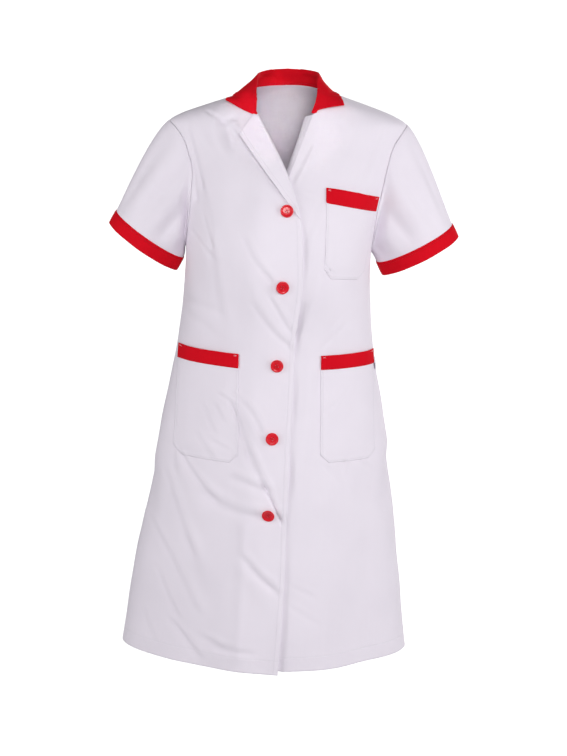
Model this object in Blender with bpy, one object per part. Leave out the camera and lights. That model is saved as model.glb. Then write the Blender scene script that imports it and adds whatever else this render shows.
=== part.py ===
"""Short-sleeved, button-front work tunic, hollow as when it is worn, in metres, +Z up.

The front faces -Y and the wearer's left is +X. The origin lies between the shoulders, level with
the sides of the neck. A place on the body is given by psi, the angle round it from the front
towards +X, and drop, the distance below the origin. Every panel is a wall of cloth on one smooth
body form, and what is sewn on a panel is made from the same form, moved out.
"""

import math

import bpy
import bmesh
import numpy as np
from mathutils import Matrix

# Cloth
WALL = 0.0016            # two turned layers or one panel, as thick as the wall is drawn
THIN = 0.0012            # patch pockets and lapel
SEAM = 0.0003            # gap between neighbouring pieces
HALF = WALL / 2

# Lengths, as drops below the sides of the neck
SHOULDER_TIP = 0.052
UNDERARM = 0.255
COLLAR_END = 0.038
LAPEL_BREAK = 0.160
HEM = 0.934
BACK_NECK = -0.0085

# The body form: a row for each level
BODY = (
    # drop, half width, front depth, back depth, fullness, sideways shift
    (-0.016, 0.0400, 0.0460, 0.0560, 0.000, -0.0030),
    (0.000, 0.0630, 0.0500, 0.0610, 0.000, -0.0030),
    (0.012, 0.0950, 0.0550, 0.0670, 0.000, -0.0025),
    (0.026, 0.1355, 0.0605, 0.0730, 0.000, -0.0020),
    (0.040, 0.1725, 0.0660, 0.0790, 0.000, -0.0010),
    (0.052, 0.1930, 0.0710, 0.0840, 0.000, 0.0000),
    (0.066, 0.1960, 0.0780, 0.0890, 0.000, 0.0000),
    (0.085, 0.1900, 0.0870, 0.0950, 0.000, -0.0010),
    (0.120, 0.1800, 0.1020, 0.1020, 0.005, -0.0020),
    (0.160, 0.1690, 0.1180, 0.1060, 0.010, -0.0040),
    (0.200, 0.1600, 0.1310, 0.1070, 0.010, -0.0060),
    (0.250, 0.1532, 0.1380, 0.1050, 0.012, -0.0085),
    (0.310, 0.1532, 0.1350, 0.1000, 0.012, -0.0080),
    (0.360, 0.1560, 0.1270, 0.0970, 0.000, -0.0076),
    (0.420, 0.1640, 0.1230, 0.1000, -0.015, -0.0066),
    (0.500, 0.1787, 0.1290, 0.1120, -0.030, -0.0058),
    (0.600, 0.1960, 0.1390, 0.1270, -0.045, -0.0056),
    (0.700, 0.2100, 0.1460, 0.1370, -0.055, -0.0062),
    (0.800, 0.2250, 0.1520, 0.1450, -0.062, -0.0074),
    (0.900, 0.2382, 0.1580, 0.1520, -0.065, -0.0080),
    (0.960, 0.2465, 0.1615, 0.1560, -0.065, -0.0080),
)
# The wearer's left shoulder sits higher: how much, and across which x and over which drop it grows
RAISE = 0.0065
RAISE_X = (-0.120, 0.160)
RAISE_DROP = (0.050, 0.210)

# Neck seam from the centre back to the side, then forward to the collar's end
NECK_BACK = (
    # psi in degrees, drop
    (90.0, 0.000), (120.0, -0.003), (150.0, -0.007), (180.0, BACK_NECK),
)
NECK_FRONT = (
    # drop, psi on the wearer's right, psi on the wearer's left, both in degrees
    (0.000, -90.0, 90.0),
    (0.005, -65.0, 64.0),
    (0.012, -55.5, 54.0),
    (0.022, -47.0, 44.0),
    (COLLAR_END, -39.5, 34.0),
)
# Inner edges of the fronts below the collar: roll line, then front edge
EDGE_OVER = (
    # drop, x
    (COLLAR_END, -0.0515), (0.080, -0.0285), (0.1225, -0.0065), (0.1460, 0.0040),
    (0.170, 0.0125), (0.204, 0.0205), (0.254, 0.0240), (0.310, 0.0260), (0.365, 0.0205),
    (0.472, 0.0192), (0.564, 0.0177), (0.626, 0.0170), (0.741, 0.0165), (0.853, 0.0139),
    (0.960, 0.0095),
)
EDGE_UNDER = (
    # drop, x
    (COLLAR_END, 0.0370), (0.080, 0.0215), (0.1225, 0.0050), (0.1350, 0.0000),
    (0.160, -0.0110), (0.190, -0.0210), (0.254, -0.0265), (0.365, -0.0300), (0.472, -0.0330),
    (0.626, -0.0370), (0.853, -0.0420), (0.960, -0.0440),
)

# How far the upper front rises to lie over the lower one, by x
OVERLAP_RISE = WALL + 3 * SEAM
OVERLAP_FROM = -0.078
OVERLAP_TO = -0.050

# Shaping and largest folds of the body, each a soft ridge, or a trough where it is negative
FOLDS = (
    # face, x and drop at one end, x and drop at the other, half breadth, height
    ("front", -0.072, 0.235, -0.070, 0.262, 0.060, 0.0075),     # bust dart, right
    ("front", 0.062, 0.235, 0.060, 0.262, 0.060, 0.0075),       # bust dart, left
    ("front", -0.150, 0.585, -0.050, 0.668, 0.030, -0.0040),    # pocket towards button 5
    ("front", -0.080, 0.480, -0.012, 0.640, 0.032, -0.0035),    # between buttons 4 and 5
    ("front", -0.165, 0.640, -0.110, 0.860, 0.034, -0.0040),    # right skirt
    ("front", -0.075, 0.740, -0.060, 0.930, 0.036, 0.0045),     # right skirt, by the hem
    ("front", 0.085, 0.560, 0.100, 0.930, 0.038, 0.0045),       # left skirt
    ("front", 0.150, 0.640, 0.155, 0.930, 0.032, -0.0040),      # left skirt, outer
    ("front", -0.060, 0.245, 0.000, 0.370, 0.030, -0.0030),     # bust to button 3
    ("front", -0.125, 0.140, -0.105, 0.300, 0.030, -0.0035),    # under the right arm
    ("back", -0.105, 0.150, -0.080, 0.330, 0.030, -0.0040),     # shoulder blade to waist
    ("back", 0.108, 0.140, 0.075, 0.330, 0.030, -0.0045),
    ("back", -0.030, 0.400, -0.050, 0.930, 0.036, 0.0055),      # back skirt flutes
    ("back", -0.105, 0.460, -0.135, 0.930, 0.032, -0.0050),
    ("back", 0.045, 0.430, 0.070, 0.930, 0.038, 0.0060),
    ("back", 0.120, 0.500, 0.165, 0.930, 0.032, -0.0050),
    ("back", -0.060, 0.330, 0.060, 0.365, 0.030, -0.0030),      # hollow of the waist
)

# Armholes: an oval in psi and drop round the arm
ARMHOLE_FRONT = (19.5, 15.5)    # degrees forward of the side, on the wearer's right and left
ARMHOLE_BACK = 18.0
# Sleeve hems, with the middle of the oval, its long half towards the outer end, and its short half
SLEEVE_HEM = (
    # wearer's side, outer x, outer drop, inner x, inner drop
    (-1, -0.2870, 0.2240, -0.1752, 0.2955),
    (1, 0.2880, 0.2260, 0.1662, 0.2920),
)
SLEEVE_DEPTH = 0.0475    # half of the hem's breadth from front to back
SLEEVE_DIP = 0.0070      # how far the hem's front hangs below its middle
CUFF = 0.0215
CUFF_WAY = (0.455, 0.0, -0.890)   # the way in which the sleeve leaves the arm
# Start of the sleeve at the armhole, by the angle round it
SLEEVE_START = (
    # degrees from the top towards the front, outward, forward, up
    (0.0, 0.080, 0.000, -0.058),
    (90.0, 0.050, 0.016, -0.055),
    (180.0, 0.012, 0.000, -0.012),
    (270.0, 0.050, -0.016, -0.055),
    (360.0, 0.080, 0.000, -0.058),
)
SLEEVE_END_PULL = 0.10
SLEEVE_SLACK = 0.35      # share of that pull at the underarm
SLEEVE_FOLDS = (
    # degrees at the armhole and at the hem, half breadth in degrees, height
    (38.0, 30.0, 12.0, -0.0035),
    (62.0, 58.0, 14.0, 0.0035),
    (98.0, 86.0, 14.0, -0.0040),
    (215.0, 205.0, 16.0, -0.0035),
    (262.0, 275.0, 15.0, 0.0030),
    (312.0, 325.0, 14.0, -0.0030),
)

# Collar: stations from the centre back to the front end, on the wearer's right, then left
COLLAR_RIGHT = (
    # roll x, y, z, middle of the fall x, y, z, edge x, y, z
    (-0.0020, 0.0555, 0.0385, -0.0020, 0.0650, 0.0170, -0.0020, 0.0705, -0.0045),
    (-0.0275, 0.0470, 0.0355, -0.0335, 0.0560, 0.0155, -0.0370, 0.0620, -0.0050),
    (-0.0470, 0.0250, 0.0300, -0.0565, 0.0325, 0.0130, -0.0645, 0.0385, -0.0050),
    (-0.0528, 0.0000, 0.0240, -0.0655, 0.0000, 0.0120, -0.0745, -0.0005, -0.0005),
    (-0.0540, -0.0270, 0.0065, -0.0720, -0.0265, 0.0020, -0.0880, -0.0165, -0.0060),
    (-0.0525, -0.0480, -0.0165, -0.0745, -0.0455, -0.0135, -0.0935, -0.0315, -0.0140),
    (-0.0540, -0.0650, -0.0400, -0.0770, -0.0575, -0.0310, -0.1015, -0.0395, -0.0225),
)
COLLAR_LEFT = (
    (-0.0020, 0.0555, 0.0385, -0.0020, 0.0650, 0.0170, -0.0020, 0.0705, -0.0045),
    (0.0235, 0.0470, 0.0372, 0.0295, 0.0560, 0.0175, 0.0330, 0.0620, -0.0030),
    (0.0425, 0.0250, 0.0340, 0.0505, 0.0325, 0.0160, 0.0585, 0.0385, -0.0020),
    (0.0465, 0.0000, 0.0295, 0.0565, 0.0000, 0.0165, 0.0665, -0.0005, 0.0040),
    (0.0440, -0.0270, 0.0110, 0.0610, -0.0265, 0.0060, 0.0770, -0.0165, -0.0035),
    (0.0415, -0.0480, -0.0120, 0.0620, -0.0455, -0.0090, 0.0800, -0.0330, -0.0140),
    (0.0345, -0.0650, -0.0325, 0.0560, -0.0610, -0.0245, 0.0840, -0.0455, -0.0262),
)
COLLAR_REACH = 0.0026    # middle of the collar's wall above the middle of the panel
NECK_MIDDLE = (0.0, 0.012, 0.0)
STAND_FULL = 0.030       # stand height from which the roll is full
ROLL_IN = 0.0022
ROLL_OUT = 0.0030
ROLL_DROP = 0.0032       # the roll's sides below its top
# Where the collar's lines lie on the way over it: seam 0, roll 1, edge 2
COLLAR_LINES = (0.0, 0.45, 0.88, 1.0, 1.12, 1.55, 2.0)
COLLAR_ROWS = (0.0, 0.25, 0.5, 0.72, 0.90, 1.0, 1.10, 1.28, 1.52, 1.76, 2.0)

# Lapel on the right front, as x and drop
LAPEL_GORGE = (-0.0575, 0.0412)
LAPEL_GORGE_AT = 0.30    # where the gorge's corner lies on the way from the roll line to the point
LAPEL_POINT = (-0.0784, 0.0736)
LAPEL_FOOT = (-0.0032, 0.1710)
LAPEL_TOP_GAP = 0.0045
LAPEL_BELLY = 0.0022     # how far the outer edge curves out
LAPEL_LIFT = 0.0014      # air under the lapel at its edges
LAPEL_SWELL = 0.0030     # and more of it along the middle
LAPEL_ROWS = 12
LAPEL_COLUMNS = 5
# The left front's edge, turned in
FACING_TOP = 0.040
FACING_FOOT = 0.128
FACING_WIDTH = 0.0085    # seen across
FACING_DEPTH = 0.0150    # how deep it turns in
FACING_NARROWING = 0.45
FACING_ROWS = 8

# Pockets: corners of the opening and of the foot, as x and drop
BAND = 0.0225
CORNER = 0.0130
POCKETS = (
    # name, inner x, drop, outer x, drop at the opening, inner x, outer x, drops at the foot
    ("hip_right", -0.0681, 0.4190, -0.1660, 0.4160, -0.0650, -0.1710, 0.5950, 0.5920),
    ("hip_left", 0.0630, 0.4180, 0.1535, 0.4150, 0.0690, 0.1640, 0.5910, 0.5900),
    ("breast", 0.0600, 0.1521, 0.1480, 0.1644, 0.0592, 0.1262, 0.2905, 0.2960),
)

# Buttons
BUTTON_ACROSS = 0.0205
BUTTON_THICK = 0.0032
BUTTON_RIM = 0.0021
BUTTON_DISH = 0.0008
BUTTON_ROUND = 0.0007
BUTTON_HOLE = 0.0019
BUTTON_HOLE_RING = 0.0024
BUTTON_SHANK = 0.0006     # thread between the cloth and the button, at their closest
BUTTONS = (
    # x, drop
    (-0.0010, 0.1893), (-0.0037, 0.3054), (-0.0072, 0.4341), (-0.0110, 0.5517), (-0.0124, 0.6725),
)

# Side tab, sewn into the left side seam and lying forward
TAB_DROP = 0.4310
TAB_LONG = 0.0180
TAB_PSI = (80.5, 89.0)
TAB_THICK = 0.0008

# Hem: how much it rises at each side seam, and at each front's inner edge
HEM_RISE_RIGHT = 0.0030
HEM_RISE_LEFT = 0.0060
HEM_RISE_OVER = -0.0025
HEM_RISE_UNDER = 0.0060

# Meshes: rows and columns of each wall
POCKET_ROWS = 9
POCKET_COLUMNS = (2, 6, 3)    # corner, middle, outer corner
YOKE_ROWS = 14
NECK_CROWDING = 1.25     # rows lie closer together along the neck where it is above 1
SKIRT_ROWS = 27
FRONT_COLUMNS = 14
BACK_COLUMNS = 20
SLEEVE_COLUMNS = 28
SLEEVE_ROWS = 7
COLLAR_COLUMNS = 36
BUTTON_SIDES = 20


def material(name, colour, roughness):
    """A plain Principled material."""
    made = bpy.data.materials.new(name)
    made.use_nodes = True
    shader = made.node_tree.nodes["Principled BSDF"]
    shader.inputs["Base Color"].default_value = (*colour, 1.0)
    shader.inputs["Roughness"].default_value = roughness
    shader.inputs["Metallic"].default_value = 0.0
    return made


def along(rows, key):
    """The values of a table at some keys, on a smooth curve through its rows."""
    table = np.array(rows, float)
    keys, values = table[:, 0], table[:, 1:]
    slopes = np.gradient(values, keys, axis=0)
    key = np.clip(np.asarray(key, float), keys[0], keys[-1])
    low = np.clip(np.searchsorted(keys, key, side="right") - 1, 0, len(keys) - 2)
    step = keys[low + 1] - keys[low]
    t = ((key - keys[low]) / step)[..., None]
    step = step[..., None]
    rise = 3 * t**2 - 2 * t**3
    start = (t**3 - 2 * t**2 + t) * step * slopes[low]
    end = (t**3 - t**2) * step * slopes[low + 1]
    return values[low] * (1 - rise) + values[low + 1] * rise + start + end


def smooth_step(value, low, high):
    """Goes from 0 at low to 1 at high, softly."""
    t = np.clip((np.asarray(value, float) - low) / (high - low), 0.0, 1.0)
    return t * t * (3 - 2 * t)


def unit(vectors):
    """The same vectors, each one metre long."""
    return vectors / np.linalg.norm(vectors, axis=-1, keepdims=True)


def reach_at(psi, drop):
    """Distance of the body form from its upright axis, and that axis's sideways shift."""
    half, front, back, fullness, shift = np.moveaxis(along(BODY, drop), -1, 0)
    side, ahead = np.sin(psi), np.cos(psi)
    depth = np.where(ahead > 0, front, back)
    oval = 1 / np.hypot(side / half, ahead / depth)
    turn = np.arctan2(side / half, ahead / depth)
    return oval * (1 + fullness * np.sin(2 * turn)**2), shift


def raised(x, drop):
    """How much the higher shoulder lifts a place."""
    return RAISE * smooth_step(x, *RAISE_X) * (1 - smooth_step(drop, *RAISE_DROP))


def plain_form(psi, drop):
    """The body form before its folds: points at some angles, in radians, and drops."""
    psi, drop = np.broadcast_arrays(np.asarray(psi, float), np.asarray(drop, float))
    reach, shift = reach_at(psi, drop)
    x, y = shift + reach * np.sin(psi), -reach * np.cos(psi)
    return np.stack([x, y, raised(x, drop) - drop], -1)


def facing_out(form, psi, drop):
    """The outward normals of a form."""
    turn, fall = 0.004, 0.0008
    across = form(psi + turn, drop) - form(psi - turn, drop)
    down = form(psi, drop + fall) - form(psi, drop - fall)
    return unit(np.cross(down, across))


def relief(psi, drop):
    """Height of the folds at some places."""
    place = plain_form(psi, drop)
    x, low, ahead = place[..., 0], -place[..., 2], np.cos(psi)
    height = np.zeros(x.shape)
    for face, x0, drop0, x1, drop1, breadth, rise in FOLDS:
        way = np.array([x1 - x0, drop1 - drop0])
        t = np.clip(((x - x0) * way[0] + (low - drop0) * way[1]) / (way @ way), 0, 1)
        away = np.hypot(x - x0 - t * way[0], low - drop0 - t * way[1])
        facing = ahead if face == "front" else -ahead
        height = height + rise * np.exp(-(away / breadth)**2) * smooth_step(facing, 0.05, 0.40)
    return height


def form(psi, drop):
    """The body form with its folds, the middle of the cloth."""
    out = facing_out(plain_form, psi, drop)
    return plain_form(psi, drop) + out * relief(psi, drop)[..., None]


def cloth(psi, drop, lift):
    """Points at a height above the middle of the cloth."""
    psi, drop = np.broadcast_arrays(np.asarray(psi, float), np.asarray(drop, float))
    return form(psi, drop) + facing_out(form, psi, drop) * np.asarray(lift)[..., None]


def psi_at(x, drop):
    """The angle of a place on the front, from its x, by halving the range that holds it."""
    x, drop = np.broadcast_arrays(np.asarray(x, float), np.asarray(drop, float))
    low, high = np.full(x.shape, -math.pi / 2), np.full(x.shape, math.pi / 2)
    for _ in range(32):
        psi = (low + high) / 2
        reach, shift = reach_at(psi, drop)
        short = shift + reach * np.sin(psi) < x
        low, high = np.where(short, psi, low), np.where(short, high, psi)
    return (low + high) / 2


def front_edge(side, drop):
    """The angle of a front's inner edge: the neck seam, the roll line, then the front edge."""
    drop = np.asarray(drop, float)
    neck = np.radians(along(NECK_FRONT, drop))[..., 0 if side < 0 else 1]
    x = along(EDGE_OVER if side < 0 else EDGE_UNDER, drop)[..., 0]
    return np.where(drop < COLLAR_END, neck, psi_at(x, drop))


def overlap(side, psi, drop):
    """How far a front's middle rises over the other front."""
    if side > 0:
        return np.zeros(np.broadcast(psi, drop).shape)
    x = plain_form(psi, drop)[..., 0]
    return OVERLAP_RISE * smooth_step(x, OVERLAP_FROM, OVERLAP_TO) * smooth_step(drop, 0.03, 0.11)


def armhole(side, angle):
    """psi and drop round an armhole, from the shoulder tip towards the front."""
    forward = np.sin(angle)
    reach = np.where(forward > 0, ARMHOLE_FRONT[0 if side < 0 else 1], ARMHOLE_BACK)
    middle, half = (SHOULDER_TIP + UNDERARM) / 2, (UNDERARM - SHOULDER_TIP) / 2
    psi = side * (math.pi / 2 - np.radians(reach) * forward)
    return psi, middle - half * np.cos(angle)


def hemmed(psi, drop, corner=0.0):
    """Drops of a skirt's rows, eased so that the last one follows the hem."""
    sides = np.where(np.sin(psi) < 0, HEM_RISE_RIGHT, HEM_RISE_LEFT) * np.sin(psi)**2
    low = (drop - UNDERARM) / (HEM - UNDERARM)
    return drop - (sides + corner) * low**2


def patch(top, bottom, start, end):
    """A grid of places between four edges, each an array of psi and drop."""
    across = np.linspace(0, 1, len(top))[None, :, None]
    down = np.linspace(0, 1, len(start))[:, None, None]
    ruled = top[None] * (1 - down) + bottom[None] * down
    sides = start[:, None] * (1 - across) + end[:, None] * across
    flat = (top[0] * (1 - across) + top[-1] * across) * (1 - down)
    flat = flat + (bottom[0] * (1 - across) + bottom[-1] * across) * down
    return ruled + sides - flat


def wall(name, outer, inner, finish, ring=False):
    """A closed wall between an outer and an inner grid of points. A ring closes on itself."""
    rows, columns = outer.shape[:2]
    points = np.concatenate([outer.reshape(-1, 3), inner.reshape(-1, 3)])
    back = rows * columns
    faces = []
    for row in range(rows - 1):
        for column in range(columns if ring else columns - 1):
            after = (column + 1) % columns
            a, b = row * columns + column, row * columns + after
            c, d = b + columns, a + columns
            faces += [(a, b, c, d), (a + back, d + back, c + back, b + back)]
    for column in range(columns if ring else columns - 1):
        after = (column + 1) % columns
        low = (rows - 1) * columns
        faces.append((after, column, column + back, after + back))
        faces.append((low + column, low + after, low + after + back, low + column + back))
    if not ring:
        for row in range(rows - 1):
            a, b = row * columns, (row + 1) * columns
            faces.append((a, b, b + back, a + back))
            a, b = a + columns - 1, b + columns - 1
            faces.append((b, a, a + back, b + back))
    mesh = bpy.data.meshes.new(name)
    mesh.from_pydata([tuple(p) for p in points], [], faces)
    return finished(name, mesh, finish)


def finished(name, mesh, finish):
    """An object of that name with its faces turned out and its material."""
    turned = bmesh.new()
    turned.from_mesh(mesh)
    bmesh.ops.recalc_face_normals(turned, faces=turned.faces)
    turned.to_mesh(mesh)
    turned.free()
    mesh.shade_smooth()
    mesh.set_sharp_from_angle(angle=math.radians(50))
    mesh.materials.append(finish)
    made = bpy.data.objects.new(name, mesh)
    bpy.context.scene.collection.objects.link(made)
    return made


def seam_angle(side, drop):
    """psi of a front's side seam, half a seam's gap short of the side."""
    half = along(BODY, drop)[..., 0]
    depth = along(BODY, drop)[..., 1]
    return side * (math.pi / 2 - SEAM / 2 / np.minimum(half, depth))


def front_panel(side, finish):
    """One front: a yoke from the shoulder to the armhole's foot, and a skirt down to the hem."""
    columns, rows = np.linspace(0, 1, FRONT_COLUMNS + 1), np.linspace(0, 1, YOKE_ROWS + 1)
    seam_drop = SHOULDER_TIP * (1 - columns)
    top = np.stack([seam_angle(side, seam_drop), seam_drop], -1)
    arm_psi, arm_drop = armhole(side, rows * math.pi)
    arm_psi = side * np.minimum(side * arm_psi, side * seam_angle(side, arm_drop))
    start = np.stack([arm_psi, arm_drop], -1)
    inner_drop = UNDERARM * rows**NECK_CROWDING
    end = np.stack([front_edge(side, inner_drop), inner_drop], -1)
    floor_psi = start[-1, 0] + (end[-1, 0] - start[-1, 0]) * columns
    bottom = np.stack([floor_psi, np.full(len(columns), UNDERARM)], -1)
    yoke = patch(top, bottom, start, end)
    drops = np.linspace(UNDERARM, HEM, SKIRT_ROWS + 1)[1:]
    outer, inner = seam_angle(side, drops), front_edge(side, drops)
    psi = outer[:, None] + (inner - outer)[:, None] * columns[None]
    corner = (HEM_RISE_OVER if side < 0 else HEM_RISE_UNDER) * columns[None]**5
    skirt = np.stack([psi, hemmed(psi, drops[:, None], corner)], -1)
    places = np.concatenate([yoke, skirt])
    psi, drop = places[..., 0], places[..., 1]
    rise = overlap(side, psi, drop)
    name = "front_right" if side < 0 else "front_left"
    return wall(name, cloth(psi, drop, rise + HALF), cloth(psi, drop, rise - HALF), finish)


def neck_back(side_share):
    """psi and drop round the back of the neck, from -1 at the right side to 1 at the left."""
    rows = [(psi - 90.0, drop) for psi, drop in NECK_BACK]
    turn = 90.0 * (1 - np.abs(side_share))
    drop = along(rows, turn)[..., 0]
    psi = np.radians(90.0 + 90.0 * (1 - side_share))
    return psi, drop


def back_panel(finish):
    """The back, from side seam to side seam, round the centre back at 180 degrees."""
    rows = np.linspace(0, 1, YOKE_ROWS + 1)
    shoulder = np.linspace(0, 1, 8)[:-1]
    neck = np.linspace(1, -1, 8)
    left_drop = SHOULDER_TIP * (1 - shoulder)
    left = np.stack([math.pi - seam_angle(1, left_drop), left_drop], -1)
    neck_psi, neck_drop = neck_back(neck)
    gap = math.pi / 2 - seam_angle(1, 0.0)
    neck_psi = np.clip(neck_psi, math.pi / 2 + gap, 1.5 * math.pi - gap)
    middle = np.stack([neck_psi, neck_drop], -1)
    right = left[::-1] * np.array([-1, 1]) + np.array([2 * math.pi, 0])
    top = np.concatenate([left, middle, right])
    columns = np.linspace(0, 1, len(top))
    arm_psi, arm_drop = armhole(1, -rows * math.pi)
    arm_psi = np.maximum(arm_psi, math.pi - seam_angle(1, arm_drop))
    start = np.stack([arm_psi, arm_drop], -1)
    end = start * np.array([-1, 1]) + np.array([2 * math.pi, 0])
    floor_psi = start[-1, 0] + (end[-1, 0] - start[-1, 0]) * columns
    bottom = np.stack([floor_psi, np.full(len(columns), UNDERARM)], -1)
    yoke = patch(top, bottom, start, end)
    drops = np.linspace(UNDERARM, HEM, SKIRT_ROWS + 1)[1:]
    first = math.pi - seam_angle(1, drops)
    psi = first[:, None] + (2 * math.pi - 2 * first)[:, None] * columns[None]
    skirt = np.stack([psi, hemmed(psi, drops[:, None])], -1)
    places = np.concatenate([yoke, skirt])
    psi, drop = places[..., 0], places[..., 1]
    return wall("back", cloth(psi, drop, HALF), cloth(psi, drop, -HALF), finish)


def sleeve_hem(side, angle, raised):
    """Points round a sleeve's hem, or the same oval raised along the sleeve."""
    _, out_x, out_drop, in_x, in_drop = next(row for row in SLEEVE_HEM if row[0] == side)
    middle = np.array([(out_x + in_x) / 2, 0.004, -(out_drop + in_drop) / 2])
    long_half = np.array([(out_x - in_x) / 2, 0.0, (in_drop - out_drop) / 2])
    short_half = np.array([0.0, -SLEEVE_DEPTH, -SLEEVE_DIP])
    oval = np.cos(angle)[..., None] * long_half + np.sin(angle)[..., None] * short_half
    up = -np.array(CUFF_WAY) * np.array([side, 1, 1])
    return middle + oval + up * np.asarray(raised)[..., None]


def sleeve_form(side, angle, share):
    """The middle of a sleeve's cloth, from the armhole at 0 to the band's seam at 1."""
    angle, share = np.broadcast_arrays(np.asarray(angle, float), np.asarray(share, float))
    psi, drop = armhole(side, angle)
    out = facing_out(form, psi, drop)
    root = form(psi, drop) + out * (HALF + SEAM + HALF)
    foot = sleeve_hem(side, angle, CUFF)
    ways = along(SLEEVE_START, np.degrees(angle) % 360.0) * np.array([side, -1, 1])
    pull = np.array(CUFF_WAY) * np.array([side, 1, 1]) * SLEEVE_END_PULL
    pull = pull * (SLEEVE_SLACK + (1 - SLEEVE_SLACK) * (1 + np.cos(angle)) / 2)[..., None]
    t = share[..., None]
    rise = 3 * t**2 - 2 * t**3
    base = root * (1 - rise) + foot * rise + ways * (t**3 - 2 * t**2 + t) + pull * (t**3 - t**2)
    middle = sleeve_hem(side, 0.0, CUFF) / 2 + sleeve_hem(side, math.pi, CUFF) / 2
    height = np.zeros(angle.shape)
    for first, last, breadth, rise in SLEEVE_FOLDS:
        away = (np.degrees(angle) - first - (last - first) * share + 180) % 360 - 180
        height = height + rise * np.exp(-(away / breadth)**2) * np.sin(math.pi * share)**1.5
    return base + unit(base - middle * t - root * (1 - t) + out * 0.02) * height[..., None]


def sleeve_walls(side, share, lift):
    """Points of a sleeve's wall at a height over its middle. The first row follows the armhole."""
    angle = np.linspace(0, 2 * math.pi, SLEEVE_COLUMNS, endpoint=False)
    angle, share = np.meshgrid(angle, share)
    turn, move = 0.02, 0.01
    across = sleeve_form(side, angle + turn, share) - sleeve_form(side, angle - turn, share)
    far = sleeve_form(side, angle, np.clip(share + move, 0, 1))
    down = far - sleeve_form(side, angle, np.clip(share - move, 0, 1))
    out = unit(np.cross(across, down)) * -side
    return sleeve_form(side, angle, share) + out * lift


def sleeve(side, finish):
    """The white part of one sleeve."""
    share = np.linspace(0, 1, SLEEVE_ROWS + 1)
    name = "sleeve_right" if side < 0 else "sleeve_left"
    outer, inner = sleeve_walls(side, share, HALF), sleeve_walls(side, share, -HALF)
    return wall(name, outer, inner, finish, ring=True)


def cuff(side, finish):
    """The red band at the foot of one sleeve."""
    angle = np.linspace(0, 2 * math.pi, SLEEVE_COLUMNS, endpoint=False)
    rows = []
    for raised in (CUFF - SEAM, CUFF / 2, 0.0):
        rows.append(sleeve_hem(side, angle, np.full(len(angle), raised)))
    middle = np.array(rows)
    centre = middle.mean(axis=1, keepdims=True)
    out = unit(middle - centre)
    name = "cuff_right" if side < 0 else "cuff_left"
    return wall(name, middle + out * (HALF + SEAM), middle - out * HALF, finish, ring=True)


def seat(points, least):
    """The same points, moved out where they come nearer to the body than a least height."""
    def level(p):
        drop = raised(p[..., 0], -p[..., 2]) - p[..., 2]
        x = p[..., 0] - along(BODY, drop)[..., -1]
        reach, _ = reach_at(np.arctan2(x, -p[..., 1]), drop)
        return np.hypot(x, p[..., 1]) / reach

    step = 0.0005
    for _ in range(3):
        slope = np.stack([(level(points + axis) - level(points - axis)) / (2 * step)
                          for axis in np.eye(3) * step], -1)
        steep = np.linalg.norm(slope, axis=-1)
        away = (level(points) - 1) / steep
        push = np.maximum(least - away, 0)
        points = points + slope / steep[..., None] * push[..., None]
    return points


def collar(finish):
    """The folded collar: a stand up from the neck seam, a roll, and a fall down to the edge."""
    share = np.linspace(-1, 1, COLLAR_COLUMNS + 1)
    stations = np.abs(share) * (len(COLLAR_LEFT) - 1)
    side = np.where(share < 0, -1.0, 1.0)
    right, left = (along([(n, *row) for n, row in enumerate(rows)], stations)
                   for rows in (COLLAR_RIGHT, COLLAR_LEFT))
    table = np.where(side[:, None] < 0, right, left)
    roll, middle, edge = (table[:, 3 * n:3 * n + 3] for n in range(3))
    seam = collar_seam(side, stations)
    outward = unit((roll - np.array(NECK_MIDDLE)) * np.array([1, 1, 0]))
    tall = np.clip((roll[:, 2] - seam[:, 2]) / STAND_FULL, 0.0, 1.0)[:, None]
    down = np.array([0.0, 0.0, -1.0]) * ROLL_DROP * tall
    before = roll - outward * ROLL_IN * tall + down
    after = roll + outward * ROLL_OUT * tall + down
    stand = seam * 0.45 + roll * 0.55 - outward * ROLL_IN / 2 * tall
    lines = (seam, stand, before, roll, after, middle, edge)
    path = [np.concatenate([[key], line.ravel()]) for key, line in zip(COLLAR_LINES, lines)]
    keys = np.array(COLLAR_ROWS)
    points = along(path, keys).reshape(len(keys), len(share), 3)
    least = COLLAR_REACH * np.minimum(1, keys / COLLAR_ROWS[1])[:, None]
    points = seat(points, least + 0 * share)
    across = np.gradient(points, axis=1)
    down = np.gradient(points, axis=0)
    out = unit(np.cross(across, down))
    out[0] = out[1]
    return wall("collar", points + out * HALF, points - out * HALF, finish)


def collar_seam(side, stations):
    """The foot of the collar's stand along the neck seam."""
    rows = []
    last = len(COLLAR_LEFT) - 1
    for sign, station in zip(side, stations):
        if station <= 3:
            psi, drop = neck_back(sign * station / 3)
            rows.append(cloth(psi, drop, WALL + SEAM))
        else:
            drop = COLLAR_END * ((station - 3) / (last - 3))**1.3
            rows.append(cloth(front_edge(sign, drop), drop, WALL + SEAM))
    return np.array(rows)


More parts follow.
